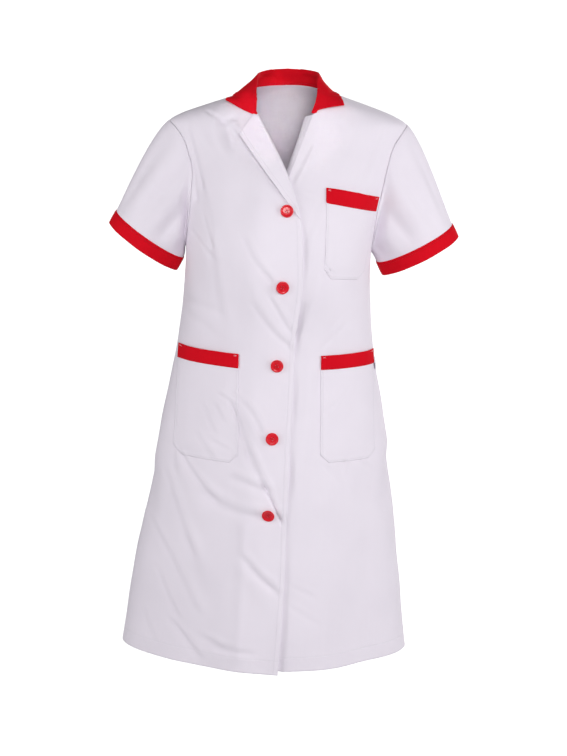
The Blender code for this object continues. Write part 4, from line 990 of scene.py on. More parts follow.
# %% Sleeve tables
SLEEVE_HEM = (
    # wearer's side, outer x, outer drop, inner x, inner drop
    (-1, -0.2870, 0.2240, -0.1752, 0.2955),
    (1, 0.2880, 0.2260, 0.1662, 0.2920),
)
SLEEVE_DEPTH = 0.0475
SLEEVE_DIP = 0.0070
CUFF = 0.0215
CUFF_WAY = (0.455, 0.0, -0.890)
SLEEVE_START = (
    # degrees from the top towards the front, outward, forward, up
    (0.0, 0.080, 0.000, -0.058),
    (90.0, 0.050, 0.016, -0.055),
    (180.0, 0.012, 0.000, -0.012),
    (270.0, 0.050, -0.016, -0.055),
    (360.0, 0.080, 0.000, -0.058),
)
SLEEVE_END_PULL = 0.10
SLEEVE_SLACK = 0.35
SLEEVE_FOLDS = (
    # wearer's side, degrees at the armhole and at the hem, half breadth in degrees, height
    (-1, 34.0, 22.0, 9.0, -0.0026), (-1, 50.0, 44.0, 10.0, 0.0022), (-1, 70.0, 60.0, 8.0, -0.0030),
    (-1, 88.0, 78.0, 9.0, 0.0026), (-1, 110.0, 98.0, 10.0, -0.0052), (-1, 134.0, 122.0, 12.0, 0.0030),
    (-1, 6.0, 2.0, 10.0, 0.0012), (-1, 216.0, 205.0, 13.0, -0.0035), (-1, 262.0, 275.0, 13.0, 0.0030),
    (-1, 238.0, 236.0, 9.0, -0.0022), (-1, 312.0, 325.0, 12.0, -0.0028), (-1, 290.0, 300.0, 10.0, 0.0016),
    (1, 30.0, 26.0, 9.0, -0.0022), (1, 46.0, 40.0, 10.0, 0.0020), (1, 64.0, 50.0, 8.0, -0.0030),
    (1, 82.0, 66.0, 9.0, 0.0028), (1, 104.0, 88.0, 9.0, -0.0050), (1, 126.0, 114.0, 11.0, 0.0032),
    (1, 148.0, 140.0, 9.0, -0.0022), (1, 214.0, 206.0, 13.0, -0.0033), (1, 260.0, 272.0, 14.0, 0.0030),
    (1, 236.0, 240.0, 9.0, -0.0024), (1, 308.0, 322.0, 12.0, -0.0030), (1, 334.0, 338.0, 9.0, 0.0014),
)
SLEEVE_TUCKS = (
    # wearer's side, degrees, half breadth in degrees, share down the sleeve, half breadth, height
    (-1, 122.0, 28.0, 0.13, 0.14, -0.0140), (-1, 150.0, 20.0, 0.45, 0.26, -0.0060),
    (-1, 238.0, 26.0, 0.12, 0.11, -0.0070),
    (1, 124.0, 26.0, 0.13, 0.13, -0.0110), (1, 152.0, 18.0, 0.42, 0.26, -0.0050),
    (1, 236.0, 26.0, 0.12, 0.11, -0.0070),
)


# %% Sleeve form
def sleeve_hem(side, angle, raise_by):
    """Points round a sleeve's hem, or the same oval raised along the sleeve."""
    _, out_x, out_drop, in_x, in_drop = next(row for row in SLEEVE_HEM if row[0] == side)
    middle = np.array([(out_x + in_x) / 2, 0.004, -(out_drop + in_drop) / 2])
    long_half = np.array([(out_x - in_x) / 2, 0.0, (in_drop - out_drop) / 2])
    short_half = np.array([0.0, -SLEEVE_DEPTH, -SLEEVE_DIP])
    oval = np.cos(angle)[..., None] * long_half + np.sin(angle)[..., None] * short_half
    up = -np.array(CUFF_WAY) * np.array([side, 1, 1])
    return middle + oval + up * np.asarray(raise_by)[..., None]


def sleeve_form(side, angle, share):
    """The middle of a sleeve's cloth, from the armhole at 0 to the band's seam at 1."""
    angle, share = np.broadcast_arrays(np.asarray(angle, float), np.asarray(share, float))
    psi, drop = armhole(side, angle)
    out = facing_out(form, psi, drop)
    foot = sleeve_hem(side, angle, CUFF)
    ways = along(SLEEVE_START, np.degrees(angle) % 360.0) * np.array([side, -1, 1])
    root = form(psi, drop) + unit(ways) * 2 * CLOTH_HALF + out * (CLOTH_HALF / 2)
    pull = np.array(CUFF_WAY) * np.array([side, 1, 1]) * SLEEVE_END_PULL
    pull = pull * (SLEEVE_SLACK + (1 - SLEEVE_SLACK) * (1 + np.cos(angle)) / 2)[..., None]
    t = share[..., None]
    rise = 3 * t**2 - 2 * t**3
    base = root * (1 - rise) + foot * rise + ways * (t**3 - 2 * t**2 + t) + pull * (t**3 - t**2)
    middle = sleeve_hem(side, 0.0, CUFF) / 2 + sleeve_hem(side, math.pi, CUFF) / 2
    height, tuck = np.zeros(angle.shape), np.zeros(angle.shape)
    for fold_side, first, last, breadth, rise in SLEEVE_FOLDS:
        if fold_side == side:
            away = (np.degrees(angle) - first - (last - first) * share + 180) % 360 - 180
            height = height + rise * np.exp(-(away / breadth)**2) * np.sin(math.pi * share)**1.2
    for tuck_side, degrees, breadth, centre, length, rise in SLEEVE_TUCKS:
        if tuck_side == side:
            away = ((np.degrees(angle) - degrees + 180) % 360 - 180) / breadth
            near = np.exp(-away**2 - ((share - centre) / length)**2)
            tuck = tuck + rise * near * smooth_step(share, 0.0, 0.08)
    swell = unit(base - middle * t - root * (1 - t) + out * 0.02)
    forward = -np.sin(angle)[..., None] * np.array([0.0, 1.0, 0.0])
    return base + swell * height[..., None] + forward * tuck[..., None]


# %% Sleeves and bands
SLEEVE_COLUMNS = 128
SLEEVE_ROWS = 44
CUFF_HALF = 0.00075
CUFF_OVER = 0.0008       # how far the band reaches over the sleeve's foot
CUFF_PROUD = 0.0004
CUFF_STITCH = 0.0030
CUFF_PATH_AIR = 0.0010
BAND_ROWS = 13


def sleeve(side):
    """The white part of one sleeve."""
    turns = np.linspace(0, 2 * math.pi, SLEEVE_COLUMNS, endpoint=False) * -side
    angle, share = np.meshgrid(turns, np.linspace(0, 1, SLEEVE_ROWS + 1))
    middle = sleeve_form(side, angle, share)
    cut_piece(by_side(side, "sleeve_right", "sleeve_left"), middle, CLOTH_HALF, white_poplin, ring=True)


def cuff(side):
    """The red band at the foot of one sleeve, a little proud of the sleeve and pressed at its foot."""
    turns = np.linspace(0, 2 * math.pi, SLEEVE_COLUMNS, endpoint=False) * -side
    down = np.linspace(0, 1, BAND_ROWS)[:, None]
    ovals = sleeve_hem(side, np.broadcast_to(turns, (BAND_ROWS, SLEEVE_COLUMNS)),
                       (CUFF + CUFF_OVER) * (1 - down))
    centre = ovals.mean(axis=1, keepdims=True)
    wave = 0.0005 * np.sin(turns * 9 + 1.0) * down + 0.0004 * np.sin(turns * 5) * down
    proud = CLOTH_HALF + CUFF_PROUD + 0.0005 * np.sin(math.pi * down) + wave
    line = CUFF_STITCH - down * CUFF + 0 * turns
    cut_piece(by_side(side, "cuff_right", "cuff_left"), ovals + unit(ovals - centre) * proud[..., None],
              CUFF_HALF, red_poplin, (line,), ring=True)


for side in (-1, 1):
    sleeve(side)
    cuff(side)
print("sleeves:", {name: round(area, 3) for name, area in areas.items() if "sleeve" in name})

# %% [markdown]
# ## The collar
#
# The red collar is one folded strip: a stand rises from the neck seam, rolls over and falls outside
# down to the edge. Stations from the centre back to each front end give the roll, the middle of the
# fall and the edge. A curve over those lines makes the section, and a last step pushes out whatever
# would touch the shoulders.

# %% Collar tables
COLLAR_RIGHT = (
    # roll x, y, z, middle of the fall x, y, z, edge x, y, z
    (-0.0020, 0.0555, 0.0385, -0.0020, 0.0650, 0.0170, -0.0020, 0.0705, -0.0045),
    (-0.0275, 0.0470, 0.0355, -0.0335, 0.0560, 0.0155, -0.0370, 0.0620, -0.0050),
    (-0.0470, 0.0250, 0.0300, -0.0565, 0.0325, 0.0130, -0.0645, 0.0385, -0.0050),
    (-0.0528, 0.0000, 0.0240, -0.0655, 0.0000, 0.0120, -0.0745, -0.0005, -0.0005),
    (-0.0540, -0.0270, 0.0065, -0.0720, -0.0265, 0.0020, -0.0880, -0.0165, -0.0060),
    (-0.0525, -0.0480, -0.0165, -0.0745, -0.0455, -0.0135, -0.0935, -0.0315, -0.0140),
    (-0.0540, -0.0650, -0.0400, -0.0770, -0.0575, -0.0310, -0.1015, -0.0395, -0.0225),
)
COLLAR_LEFT = (
    (-0.0020, 0.0555, 0.0385, -0.0020, 0.0650, 0.0170, -0.0020, 0.0705, -0.0045),
    (0.0235, 0.0470, 0.0372, 0.0295, 0.0560, 0.0175, 0.0330, 0.0620, -0.0030),
    (0.0425, 0.0250, 0.0340, 0.0505, 0.0325, 0.0160, 0.0585, 0.0385, -0.0020),
    (0.0465, 0.0000, 0.0295, 0.0565, 0.0000, 0.0165, 0.0665, -0.0005, 0.0040),
    (0.0440, -0.0270, 0.0110, 0.0610, -0.0265, 0.0060, 0.0770, -0.0165, -0.0035),
    (0.0415, -0.0480, -0.0120, 0.0620, -0.0455, -0.0090, 0.0800, -0.0330, -0.0140),
    (0.0345, -0.0650, -0.0325, 0.0560, -0.0610, -0.0245, 0.0840, -0.0455, -0.0262),
)
COLLAR_REACH = 0.0024
COLLAR_HALF = 0.0007
COLLAR_LIFT = 0.0014
NECK_MIDDLE = (0.0, 0.012, 0.0)
STAND_FULL = 0.030
LEAF_STAND = 0.0045      # how far the leaves' edges stand off the shoulders, towards their points
FALL_STITCH = 0.0050
STAND_STITCH = 0.0035
ROLL_IN = 0.0022
ROLL_OUT = 0.0030
ROLL_DROP = 0.0032
COLLAR_LINES = (0.0, 0.45, 0.88, 1.0, 1.12, 1.55, 2.0)


# %% The collar
def seat(points, least):
    """The same points, moved out where they come nearer to the body than a least height."""
    def level(p):
        drop = raised(p[..., 0], -p[..., 2]) - p[..., 2]
        x = p[..., 0] - along(BODY, drop)[..., -1]
        reach, _ = reach_at(np.arctan2(x, -p[..., 1]), drop)
        return np.hypot(x, p[..., 1]) / reach

    step = 0.0005
    for _ in range(3):
        slope = np.stack([(level(points + axis) - level(points - axis)) / (2 * step)
                          for axis in np.eye(3) * step], -1)
        steep = np.linalg.norm(slope, axis=-1)
        push = np.maximum(least - (level(points) - 1) / steep, 0)
        points = points + slope / steep[..., None] * push[..., None]
    return points


def collar_seam(side, stations):
    """The foot of the collar's stand along the neck seam."""
    rows = []
    last = len(COLLAR_LEFT) - 1
    for sign, station in zip(side, stations):
        if station <= 3:
            psi, drop = neck_back(sign * station / 3)
        else:
            drop = COLLAR_END * ((station - 3) / (last - 3))**1.3
            psi = front_edge(sign, drop)
        rows.append(cloth(psi, drop, COLLAR_LIFT))
    return np.array(rows)


def collar():
    """The folded collar, with slight waves along its edge."""
    share = np.linspace(-1, 1, 181)
    stations = np.abs(share) * (len(COLLAR_LEFT) - 1)
    side = np.where(share < 0, -1.0, 1.0)
    right, left = (along([(n, *row) for n, row in enumerate(rows)], stations)
                   for rows in (COLLAR_RIGHT, COLLAR_LEFT))
    table = np.where(side[:, None] < 0, right, left)
    roll, middle, edge = (table[:, 3 * n:3 * n + 3] for n in range(3))
    seam = collar_seam(side, stations)
    outward = unit((roll - np.array(NECK_MIDDLE)) * np.array([1, 1, 0]))
    tall = np.clip((roll[:, 2] - seam[:, 2]) / STAND_FULL, 0.0, 1.0)[:, None]
    down = np.array([0.0, 0.0, -1.0]) * ROLL_DROP * tall
    before = roll - outward * ROLL_IN * tall + down
    after = roll + outward * ROLL_OUT * tall + down
    stand = seam * 0.45 + roll * 0.55 - outward * ROLL_IN / 2 * tall
    lines = (seam, stand, before, roll, after, middle, edge)
    path = [np.concatenate([[key], line.ravel()]) for key, line in zip(COLLAR_LINES, lines)]
    keys = np.concatenate([np.linspace(0, 0.85, 16)[:-1], np.linspace(0.85, 1.15, 13)[:-1],
                           np.linspace(1.15, 2.0, 25)])
    points = along(path, keys).reshape(len(keys), len(share), 3)
    wave = 0.0006 * np.sin(share * 23 + 1.0) + 0.0005 * np.sin(share * 41)
    wave = wave[None] * smooth_step(keys, 1.2, 2.0)[:, None]
    points = points - grid_normals(points, False) * wave[..., None]
    least = COLLAR_REACH * np.minimum(1, keys / 0.2)[:, None] + np.abs(wave)
    leaf = smooth_step(np.abs(share), 0.74, 0.97)[None] * smooth_step(keys, 1.3, 2.0)[:, None]
    least = least + LEAF_STAND * leaf
    points = seat(points, least)
    lines = (lengths_down(points[::-1])[::-1] - FALL_STITCH, FAR, lengths_down(points) - STAND_STITCH)
    cut_piece("collar", points, COLLAR_HALF, red_poplin, lines, anchor=len(share) // 2)
    return points


collar_points = collar()
print("collar:", round(areas["collar"], 4), "square metres")

# %% [markdown]
# ## Lapel and turned-in edge
#
# On the wearer's right the front edge turns out below the collar and makes a lapel. It rolls over the
# edge, stands up a little along its middle, and closes again just below the first button. On the left
# the same edge is turned in instead, and only a narrow strip of it shows.

# %% Lapel and turned-in edge
LAPEL_GORGE = (-0.0575, 0.0412)
LAPEL_GORGE_AT = 0.30
LAPEL_POINT = (-0.0784, 0.0736)
LAPEL_FOOT = (-0.0032, 0.1710)
LAPEL_TOP = COLLAR_END + 0.0045
LAPEL_BELLY = 0.0022
LAPEL_STAND = 0.0060     # how far its outer edge stands off at the point
LAPEL_SWELL = 0.0030
LAPEL_HALF = 0.00055
LAPEL_CLOSED = 0.29      # how far past its foot the lapel's edge runs on before it meets the roll line
LAPEL_STITCH = 0.0058
LAPEL_SHARES = np.concatenate([[0.0], np.linspace(0.012, 1, 33)])
LAPEL_AIR = 0.0002
ROLL_ROUND = 0.0013
FACING_TOP = 0.040
FACING_FOOT = 0.134
FACING_WIDTH = 0.0105
FACING_DEPTH = 0.0095
FACING_GAP = 0.0004
FACING_STEP = 0.0012     # how far it starts behind the front's edge
FACING_STITCH = 0.0062   # from the front's edge to the stitches on it
FACING_NARROWING = 0.45
FOOT_SHARE = 0.80        # where the lapel's straight part ends on the way down


def lapel_places():
    """x and drop over the lapel, from its roll line to its outer edge."""
    down = np.linspace(0, 1, 91)
    foot, point = np.array(LAPEL_FOOT), np.array(LAPEL_POINT)
    meets = foot + (foot - point) * LAPEL_CLOSED
    drop = LAPEL_TOP + (meets[1] - LAPEL_TOP) * down
    roll = np.stack([along(EDGE_OVER, drop)[:, 0], drop], -1)
    edge = point + (meets - point) * down[:, None]
    edge[:, 0] -= LAPEL_BELLY * np.sin(math.pi * down)
    edge[:, 0] = np.minimum(edge[:, 0], roll[:, 0] - 0.0012)
    places = roll[:, None] + (edge - roll)[:, None] * LAPEL_SHARES[None, :, None]
    straight = roll[0] + (point - roll[0]) * LAPEL_GORGE_AT
    bend = np.interp(LAPEL_SHARES, (0.0, LAPEL_GORGE_AT, 1.0), (0.0, 1.0, 0.0))
    fade = np.clip(1 - down / 0.06, 0, 1)[:, None, None]
    places += bend[None, :, None] * (np.array(LAPEL_GORGE) - straight) * fade
    return places, down


def lapel():
    """The turned-out lapel of the right front."""
    places, down = lapel_places()
    x, low = places[..., 0], places[..., 1]
    psi = psi_at(x, low)
    closing = 1 - smooth_step(down, FOOT_SHARE - 0.30, 1.0)[:, None]
    swell = np.sin(math.pi * LAPEL_SHARES**0.8)[None] * np.sin(math.pi * (0.15 + 0.7 * down))[:, None]
    width = np.linalg.norm(places[:, -1] - places[:, 0], axis=-1)[:, None]
    turn = np.clip(LAPEL_SHARES[None] * width / (2 * ROLL_ROUND), 0, 1) * math.pi
    roll_lift = -ROLL_ROUND * np.cos(turn) + ROLL_ROUND * 0.6
    rest = CLOTH_HALF + LAPEL_HALF + LAPEL_AIR
    rise = front_lift(-1, psi, low) + rest + roll_lift * (0.35 + 0.65 * closing)
    stand = LAPEL_STAND * LAPEL_SHARES[None]**1.3 * smooth_step(down, 1.0, 0.0)[:, None]
    rise = rise + (LAPEL_SWELL * swell + stand) * closing
    middle = cloth(psi, low, rise)
    edge_line = (1 - LAPEL_SHARES[None]) * width - LAPEL_STITCH
    cut_piece("lapel_right", middle, LAPEL_HALF, white_poplin, (edge_line,))
    return places


def facing():
    """The left front's edge turned in beside the neck opening."""
    down = np.linspace(0, 1, 49)[:, None]
    drop = FACING_TOP + (FACING_FOOT - FACING_TOP) * down[:, 0]
    psi = front_edge(1, drop)
    root = cloth(psi, drop, 0.0)
    way = unit(cloth(psi - np.radians(0.5), drop, 0.0) - root)
    inward = -facing_out(form, psi, drop)
    narrow = 1 - FACING_NARROWING * down
    start = root + way * FACING_GAP + inward * FACING_STEP
    shares = np.linspace(0, 1, 13)
    middle = np.stack([start + narrow * (way * FACING_WIDTH * math.sin(share * math.pi / 2)
                                         + inward * FACING_DEPTH * share**1.3) for share in shares], 1)
    stitch_line = np.linalg.norm(middle - middle[:, :1], axis=-1) - FACING_STITCH
    cut_piece("facing_left", middle, LAPEL_HALF, white_poplin, (stitch_line,))
    return middle


lapel_grid = lapel()
facing_grid = facing()
print("lapel:", round(areas["lapel_right"], 4), "turned-in edge:", round(areas["facing_left"], 4))

# %% [markdown]
# ## Patch pockets
#
# Each pocket is a patch with its edges turned under and stitched close to the fold. Its lower corners
# are cut off at a slant. A red band finishes the opening. The patch is a little longer than the cloth
# beneath it, so its middle stands off by about a millimetre and its mouth gapes slightly.

# %% Patch pockets
BAND = 0.0225
CORNER = 0.0130
POCKETS = (
    # name, inner x, drop, outer x, drop at the opening, inner x, outer x, drops at the foot
    ("hip_right", -0.0681, 0.4190, -0.1660, 0.4160, -0.0650, -0.1710, 0.5950, 0.5920),
    ("hip_left", 0.0630, 0.4180, 0.1535, 0.4150, 0.0690, 0.1640, 0.5910, 0.5900),
    ("breast", 0.0600, 0.1521, 0.1480, 0.1644, 0.0592, 0.1262, 0.2905, 0.2960),
)
POCKET_HALF = 0.00045
POCKET_GAP = 0.00015
POCKET_STITCH = 0.0028
BAND_HALF = 0.00060
BAND_GAP = 0.0001
BAND_STITCH = 0.0022
BAND_OVERLAP = 0.0035    # how far the band reaches down over the patch
GAPE = 0.0009


def pocket_size(row):
    """A pocket's width at its opening and its height."""
    return abs(row[3] - row[1]), (row[7] + row[8] - row[2] - row[4]) / 2


def pocket_place(row, share, low, height):
    """x and drop inside a pocket, by its share across and its distance down."""
    _, in_x, in_drop, out_x, out_drop, in_foot, out_foot, in_low, out_low = row
    top = np.stack([in_x + (out_x - in_x) * share, in_drop + (out_drop - in_drop) * share], -1)
    foot = np.stack([in_foot + (out_foot - in_foot) * share, in_low + (out_low - in_low) * share], -1)
    return top + (foot - top) * (low / height)[..., None]


def on_front(side, places, lift):
    """Points above a front at some places in x and drop."""
    x, drop = places[..., 0], places[..., 1]
    psi = psi_at(x, drop)
    return cloth(psi, drop, front_lift(side, psi, drop) + lift)


def pocket_air(row, share, low, height):
    """How far a pocket's cloth stands off the front, from nothing at its sewn edges."""
    near = np.minimum(share, 1 - share) * pocket_size(row)[0]
    short = np.maximum(CORNER - near, 0.0)
    sewn = np.maximum(np.minimum(near, height - short - low), 0)
    wave = 1 + 0.35 * np.sin(low * 45 + share * 5 + row[2] * 9)
    return 0.0012 * smooth_step(sewn, 0.001, 0.022) * wave


def pocket_shares(row):
    """Shares across a pocket, even round the body, with its cut corners' ends among them."""
    corner = math.copysign(CORNER, row[3] - row[1])
    bounds = psi_at(np.array([row[1], row[1] + corner, row[3] - corner, row[3]]), row[2])
    turns = [np.linspace(low, high, steps, endpoint=False)
             for low, high, steps in zip(bounds, bounds[1:], (8, 26, 10))]
    x = plain_form(np.append(np.concatenate(turns), bounds[-1]), row[2])[:, 0]
    return ((x - row[1]) / (row[3] - row[1]))[None]


def pocket(row):
    """One patch pocket and the red band along its opening."""
    name, side = row[0], math.copysign(1, row[1])
    wide, height = pocket_size(row)
    share = pocket_shares(row)
    near = np.minimum(share, 1 - share) * wide
    short = np.maximum(CORNER - near, 0.0)
    down = np.linspace(0, 1, 49)[:, None]
    top = BAND - BAND_OVERLAP
    low = top + (height - short - top) * down
    places = pocket_place(row, share + 0 * low, low, height)
    rest = CLOTH_HALF + POCKET_HALF + POCKET_GAP
    middle = on_front(side, places, rest + pocket_air(row, share, low, height))
    side_line = near + 0 * low - POCKET_STITCH
    foot_line = height - short - low - POCKET_STITCH
    cut_piece("pocket_" + name, middle, POCKET_HALF, white_poplin, (side_line, FAR, foot_line))
    low = BAND * np.linspace(0, 1, BAND_ROWS)[:, None] + 0 * share
    places = pocket_place(row, share + 0 * low, low, height)
    gape = GAPE * np.sin(math.pi * np.clip(share, 0, 1)) * (1 - low / BAND)
    rest = rest + POCKET_HALF + BAND_HALF + BAND_GAP
    middle = on_front(side, places, rest + gape + pocket_air(row, share, low, height))
    cut_piece("band_" + name, middle, BAND_HALF, red_poplin, (BAND - low - BAND_STITCH,))


for row in POCKETS:
    pocket(row)
print("pockets:", {name: round(area, 4) for name, area in areas.items() if "pocket" in name})

# %% [markdown]
# ## The side tab
#
# A small plain tab of woven ribbon is caught in the left side seam and lies forward, just under the
# pocket's band. It stays blank.

# %% The side tab
TAB_DROP = 0.4310
TAB_LONG = 0.0180
TAB_PSI = (80.5, 89.0)
TAB_HALF = 0.0004
TAB_LIFT = 0.0016
TAB_CURL = 0.0014
psi, drop = np.meshgrid(np.radians(np.linspace(*TAB_PSI, 17)),
                        np.linspace(TAB_DROP, TAB_DROP + TAB_LONG, 15))
free = (TAB_PSI[1] - np.degrees(psi)) / (TAB_PSI[1] - TAB_PSI[0])
cut_piece("side_tab", cloth(psi, drop, TAB_LIFT + TAB_CURL * free**2), TAB_HALF, white_poplin,
          made_as="ribbon")
print("tab:", round(areas["side_tab"] * 1e4, 1), "square centimetres")

# %% [markdown]
# ## Buttons
#
# The buttons are turned from red polyester: a rounded rim, a shallow dish and four holes. A lathe
# profile gives the body and a Boolean drills the holes, as the maker's drill does. Thread runs through
# the holes in two bars. The last button is tipped a little by the fold that ends beside it.

# %% Button mesh
BUTTON_THICK = 0.0032
BUTTON_HOLE = 0.0018
BUTTON_HOLE_RING = 0.0024
BUTTON_LIFT = 0.0009
BUTTON_PROFILE = (
    # radius, height
    (0.00905, 0.00000), (0.00975, 0.00018), (0.01014, 0.00060), (0.01025, 0.00120), (0.01025, 0.00200),
    (0.01012, 0.00262), (0.00975, 0.00305), (0.00920, 0.00320), (0.00860, 0.00308), (0.00800, 0.00270),
    (0.00735, 0.00232), (0.00640, 0.00212), (0.00500, 0.00200), (0.00330, 0.00194),
)
BUTTON_SIDES = 72


def lathe(profile, sides):
    """A closed mesh from a profile of radius and height, turned about the upright axis."""
    angles = 2 * math.pi * np.arange(sides) / sides
    rings = [(r * np.cos(angles), r * np.sin(angles), np.full(sides, h)) for r, h in profile]
    points = np.concatenate([np.stack(ring, -1) for ring in rings])
    faces = [(n * sides + k, n * sides + (k + 1) % sides, (n + 1) * sides + (k + 1) % sides,
              (n + 1) * sides + k) for n in range(len(profile) - 1) for k in range(sides)]
    faces.append(tuple(reversed(range(sides))))
    faces.append(tuple((len(profile) - 1) * sides + k for k in range(sides)))
    mesh = bpy.data.meshes.new("turned")
    mesh.from_pydata(points.tolist(), [], faces)
    return mesh


def applied(thing):
    """The mesh of an object with its modifiers applied."""
    bpy.context.view_layer.update()
    ready = thing.evaluated_get(bpy.context.evaluated_depsgraph_get())
    return bpy.data.meshes.new_from_object(ready)


def drilled(mesh):
    """The same mesh with four holes through it."""
    disc = add_object("button_blank", mesh)
    drills = bmesh.new()
    for number in range(4):
        angle = math.pi / 4 + math.pi / 2 * number
        made = bmesh.ops.create_cone(drills, cap_ends=True, segments=20, radius1=BUTTON_HOLE / 2,
                                     radius2=BUTTON_HOLE / 2, depth=4 * BUTTON_THICK)
        offset = (BUTTON_HOLE_RING * math.cos(angle), BUTTON_HOLE_RING * math.sin(angle), 0)
        bmesh.ops.translate(drills, verts=made["verts"], vec=offset)
    drill_mesh = bpy.data.meshes.new("drills")
    drills.to_mesh(drill_mesh)
    drills.free()
    drill = add_object("drills", drill_mesh)
    cut = disc.modifiers.new("holes", "BOOLEAN")
    cut.object = drill
    pierced = applied(disc)
    bpy.data.objects.remove(disc)
    bpy.data.objects.remove(drill)
    pierced.shade_smooth()
    pierced.set_sharp_from_angle(angle=math.radians(38))
    return pierced


button_mesh = drilled(lathe(BUTTON_PROFILE, BUTTON_SIDES))
print("button:", len(button_mesh.polygons), "faces")

# %% [markdown]
# The polyester is coloured right through and polished, so it has a clear coat and a faint cloudiness
# inside, and the drilling leaves fine scratches round the holes.

# %% Finishes of buttons and thread


def polyester():
    """Glossy red polyester."""
    made = Finish("red_polyester")
    cloud = made.noise(made.place(), 160.0)
    scratch = made.noise(made.place(), 2600.0)
    colour = made.blend(cloud.step(0.3, 0.7), (0.760, 0.0060, 0.0200, 1.0), (0.620, 0.0030, 0.0120, 1.0))
    made.set(Base_Color=colour, Roughness=0.30 + scratch * 0.10,
             Normal=made.bump(scratch, 0.00002, 0.25), Coat_Weight=0.35, Coat_Roughness=0.10,
             Specular_IOR_Level=0.30)
    return made.material


def sewing_thread(name, colour, shade):
    """Twisted polyester thread."""
    made = Finish(name)
    fuzz = made.noise(made.place(), 1800.0)
    made.set(Base_Color=made.blend(fuzz, colour, shade), Roughness=0.55 + fuzz * 0.15,
             Normal=made.bump(fuzz, 0.00006, 0.5), Sheen_Weight=0.1, Sheen_Roughness=0.4)
    return made.material


red_polyester = polyester()
white_thread = sewing_thread("white_thread", (0.860, 0.835, 0.885, 1.0), (0.640, 0.620, 0.680, 1.0))
red_thread = sewing_thread("red_thread", (0.640, 0.0100, 0.0220, 1.0), (0.360, 0.0040, 0.0100, 1.0))
print("finishes:", red_polyester.name, white_thread.name, red_thread.name)

# %% Buttons in their places
BUTTON_TIPS = (
    # turn of the holes, tip about the crosswise axis and about the upright one in degrees, extra lift
    (20.0, 4.0, 3.0, 0.0002), (8.0, 3.0, -4.0, 0.0002), (-14.0, 9.0, 5.0, 0.0006),
    (30.0, 4.0, -3.0, 0.0002), (-6.0, 27.0, 9.0, 0.0016),
)


def button_frame(number):
    """Axes and place of a button, tipped from the cloth under it."""
    x, drop = BUTTONS[number]
    spin, nod, swing, extra = BUTTON_TIPS[number]
    psi = psi_at(x, drop)
    lift = front_lift(-1, psi, drop) + CLOTH_HALF + BUTTON_LIFT + extra
    place = cloth(psi, drop, lift)
    out = facing_out(plain_form, psi, drop)
    down = unit(plain_form(psi, drop + 0.005) - plain_form(psi, drop - 0.005))
    tipped = aimed(place, np.cross(out, down) * -1, -down, out)
    turns = (Matrix.Rotation(math.radians(nod), 4, "X") @ Matrix.Rotation(math.radians(swing), 4, "Y")
             @ Matrix.Rotation(math.radians(spin), 4, "Z"))
    return tipped @ turns


threads = bmesh.new()
for number in range(len(BUTTONS)):
    mesh = button_mesh.copy()
    matrix = button_frame(number)
    mesh.transform(matrix)
    mesh.materials.clear()
    mesh.materials.append(red_polyester)
    name = f"button_{number + 1}"
    pieces[name] = add_object(name + "_turned", mesh)
    for bar in (-1, 1):
        for strand in (-1, 0, 1):
            ring = BUTTON_HOLE_RING / math.sqrt(2)
            made = bmesh.ops.create_uvsphere(threads, u_segments=8, v_segments=6, radius=1.0)
            size = Matrix.Diagonal((ring * 1.22, 0.00026, 0.00030, 1.0))
            lift = Matrix.Translation((0, bar * ring + strand * 0.00042, 0.00203))
            bmesh.ops.transform(threads, matrix=matrix @ lift @ size, verts=made["verts"])
    shank = bmesh.ops.create_cone(threads, cap_ends=True, segments=12, radius1=0.0022, radius2=0.0020,
                                  depth=0.0024)
    bmesh.ops.transform(threads, matrix=matrix @ Matrix.Translation((0, 0, -0.0008)), verts=shank["verts"])
thread_mesh = bpy.data.meshes.new("button_threads")
threads.to_mesh(thread_mesh)
threads.free()
thread_mesh.shade_smooth()
thread_mesh.materials.append(red_thread)
button_threads = add_object("button_threads", thread_mesh)
print("buttons:", len(BUTTONS))

# %% [markdown]
# ## Stitches
#
# Every sewn line is a run of small stitches that lie in a groove. Each path is kept as points on the
# cloth with the cloth's own normal beside them. A Geometry Nodes tree turns the paths into curves, sets
# a point every stitch, turns a small bead of thread along the curve and flat to the cloth, and joins
# them all. Drawing every bead by hand, or an array for each line, would be much longer. Small zigzags
# hold the ends of the pockets' bands.

# %% Paths of the stitches


def front_path(side, x, drop, lift):
    """Points and normals of a path on a front."""
    psi = psi_at(x, drop)
    return cloth(psi, drop, front_lift(side, psi, drop) + lift), facing_out(form, psi, drop)


def hem_path(psi, corner=0.0, side=0):
    """Points and normals of a path above the hem, of a front or else of the back."""
    drop = hemmed(psi, HEM, corner) - HEM_STITCH
    rise = front_lift(side, psi, drop) if side else 0.0
    return cloth(psi, drop, rise + CLOTH_HALF), facing_out(form, psi, drop)


def pocket_path(row, share, low, lift):
    """Points and normals of a path on a pocket, by its shares across and its distances down."""
    height = pocket_size(row)[1]
    places = pocket_place(row, share, low, height)
    air = pocket_air(row, share, low, height)
    return front_path(math.copysign(1, row[1]), places[:, 0], places[:, 1], lift + air)


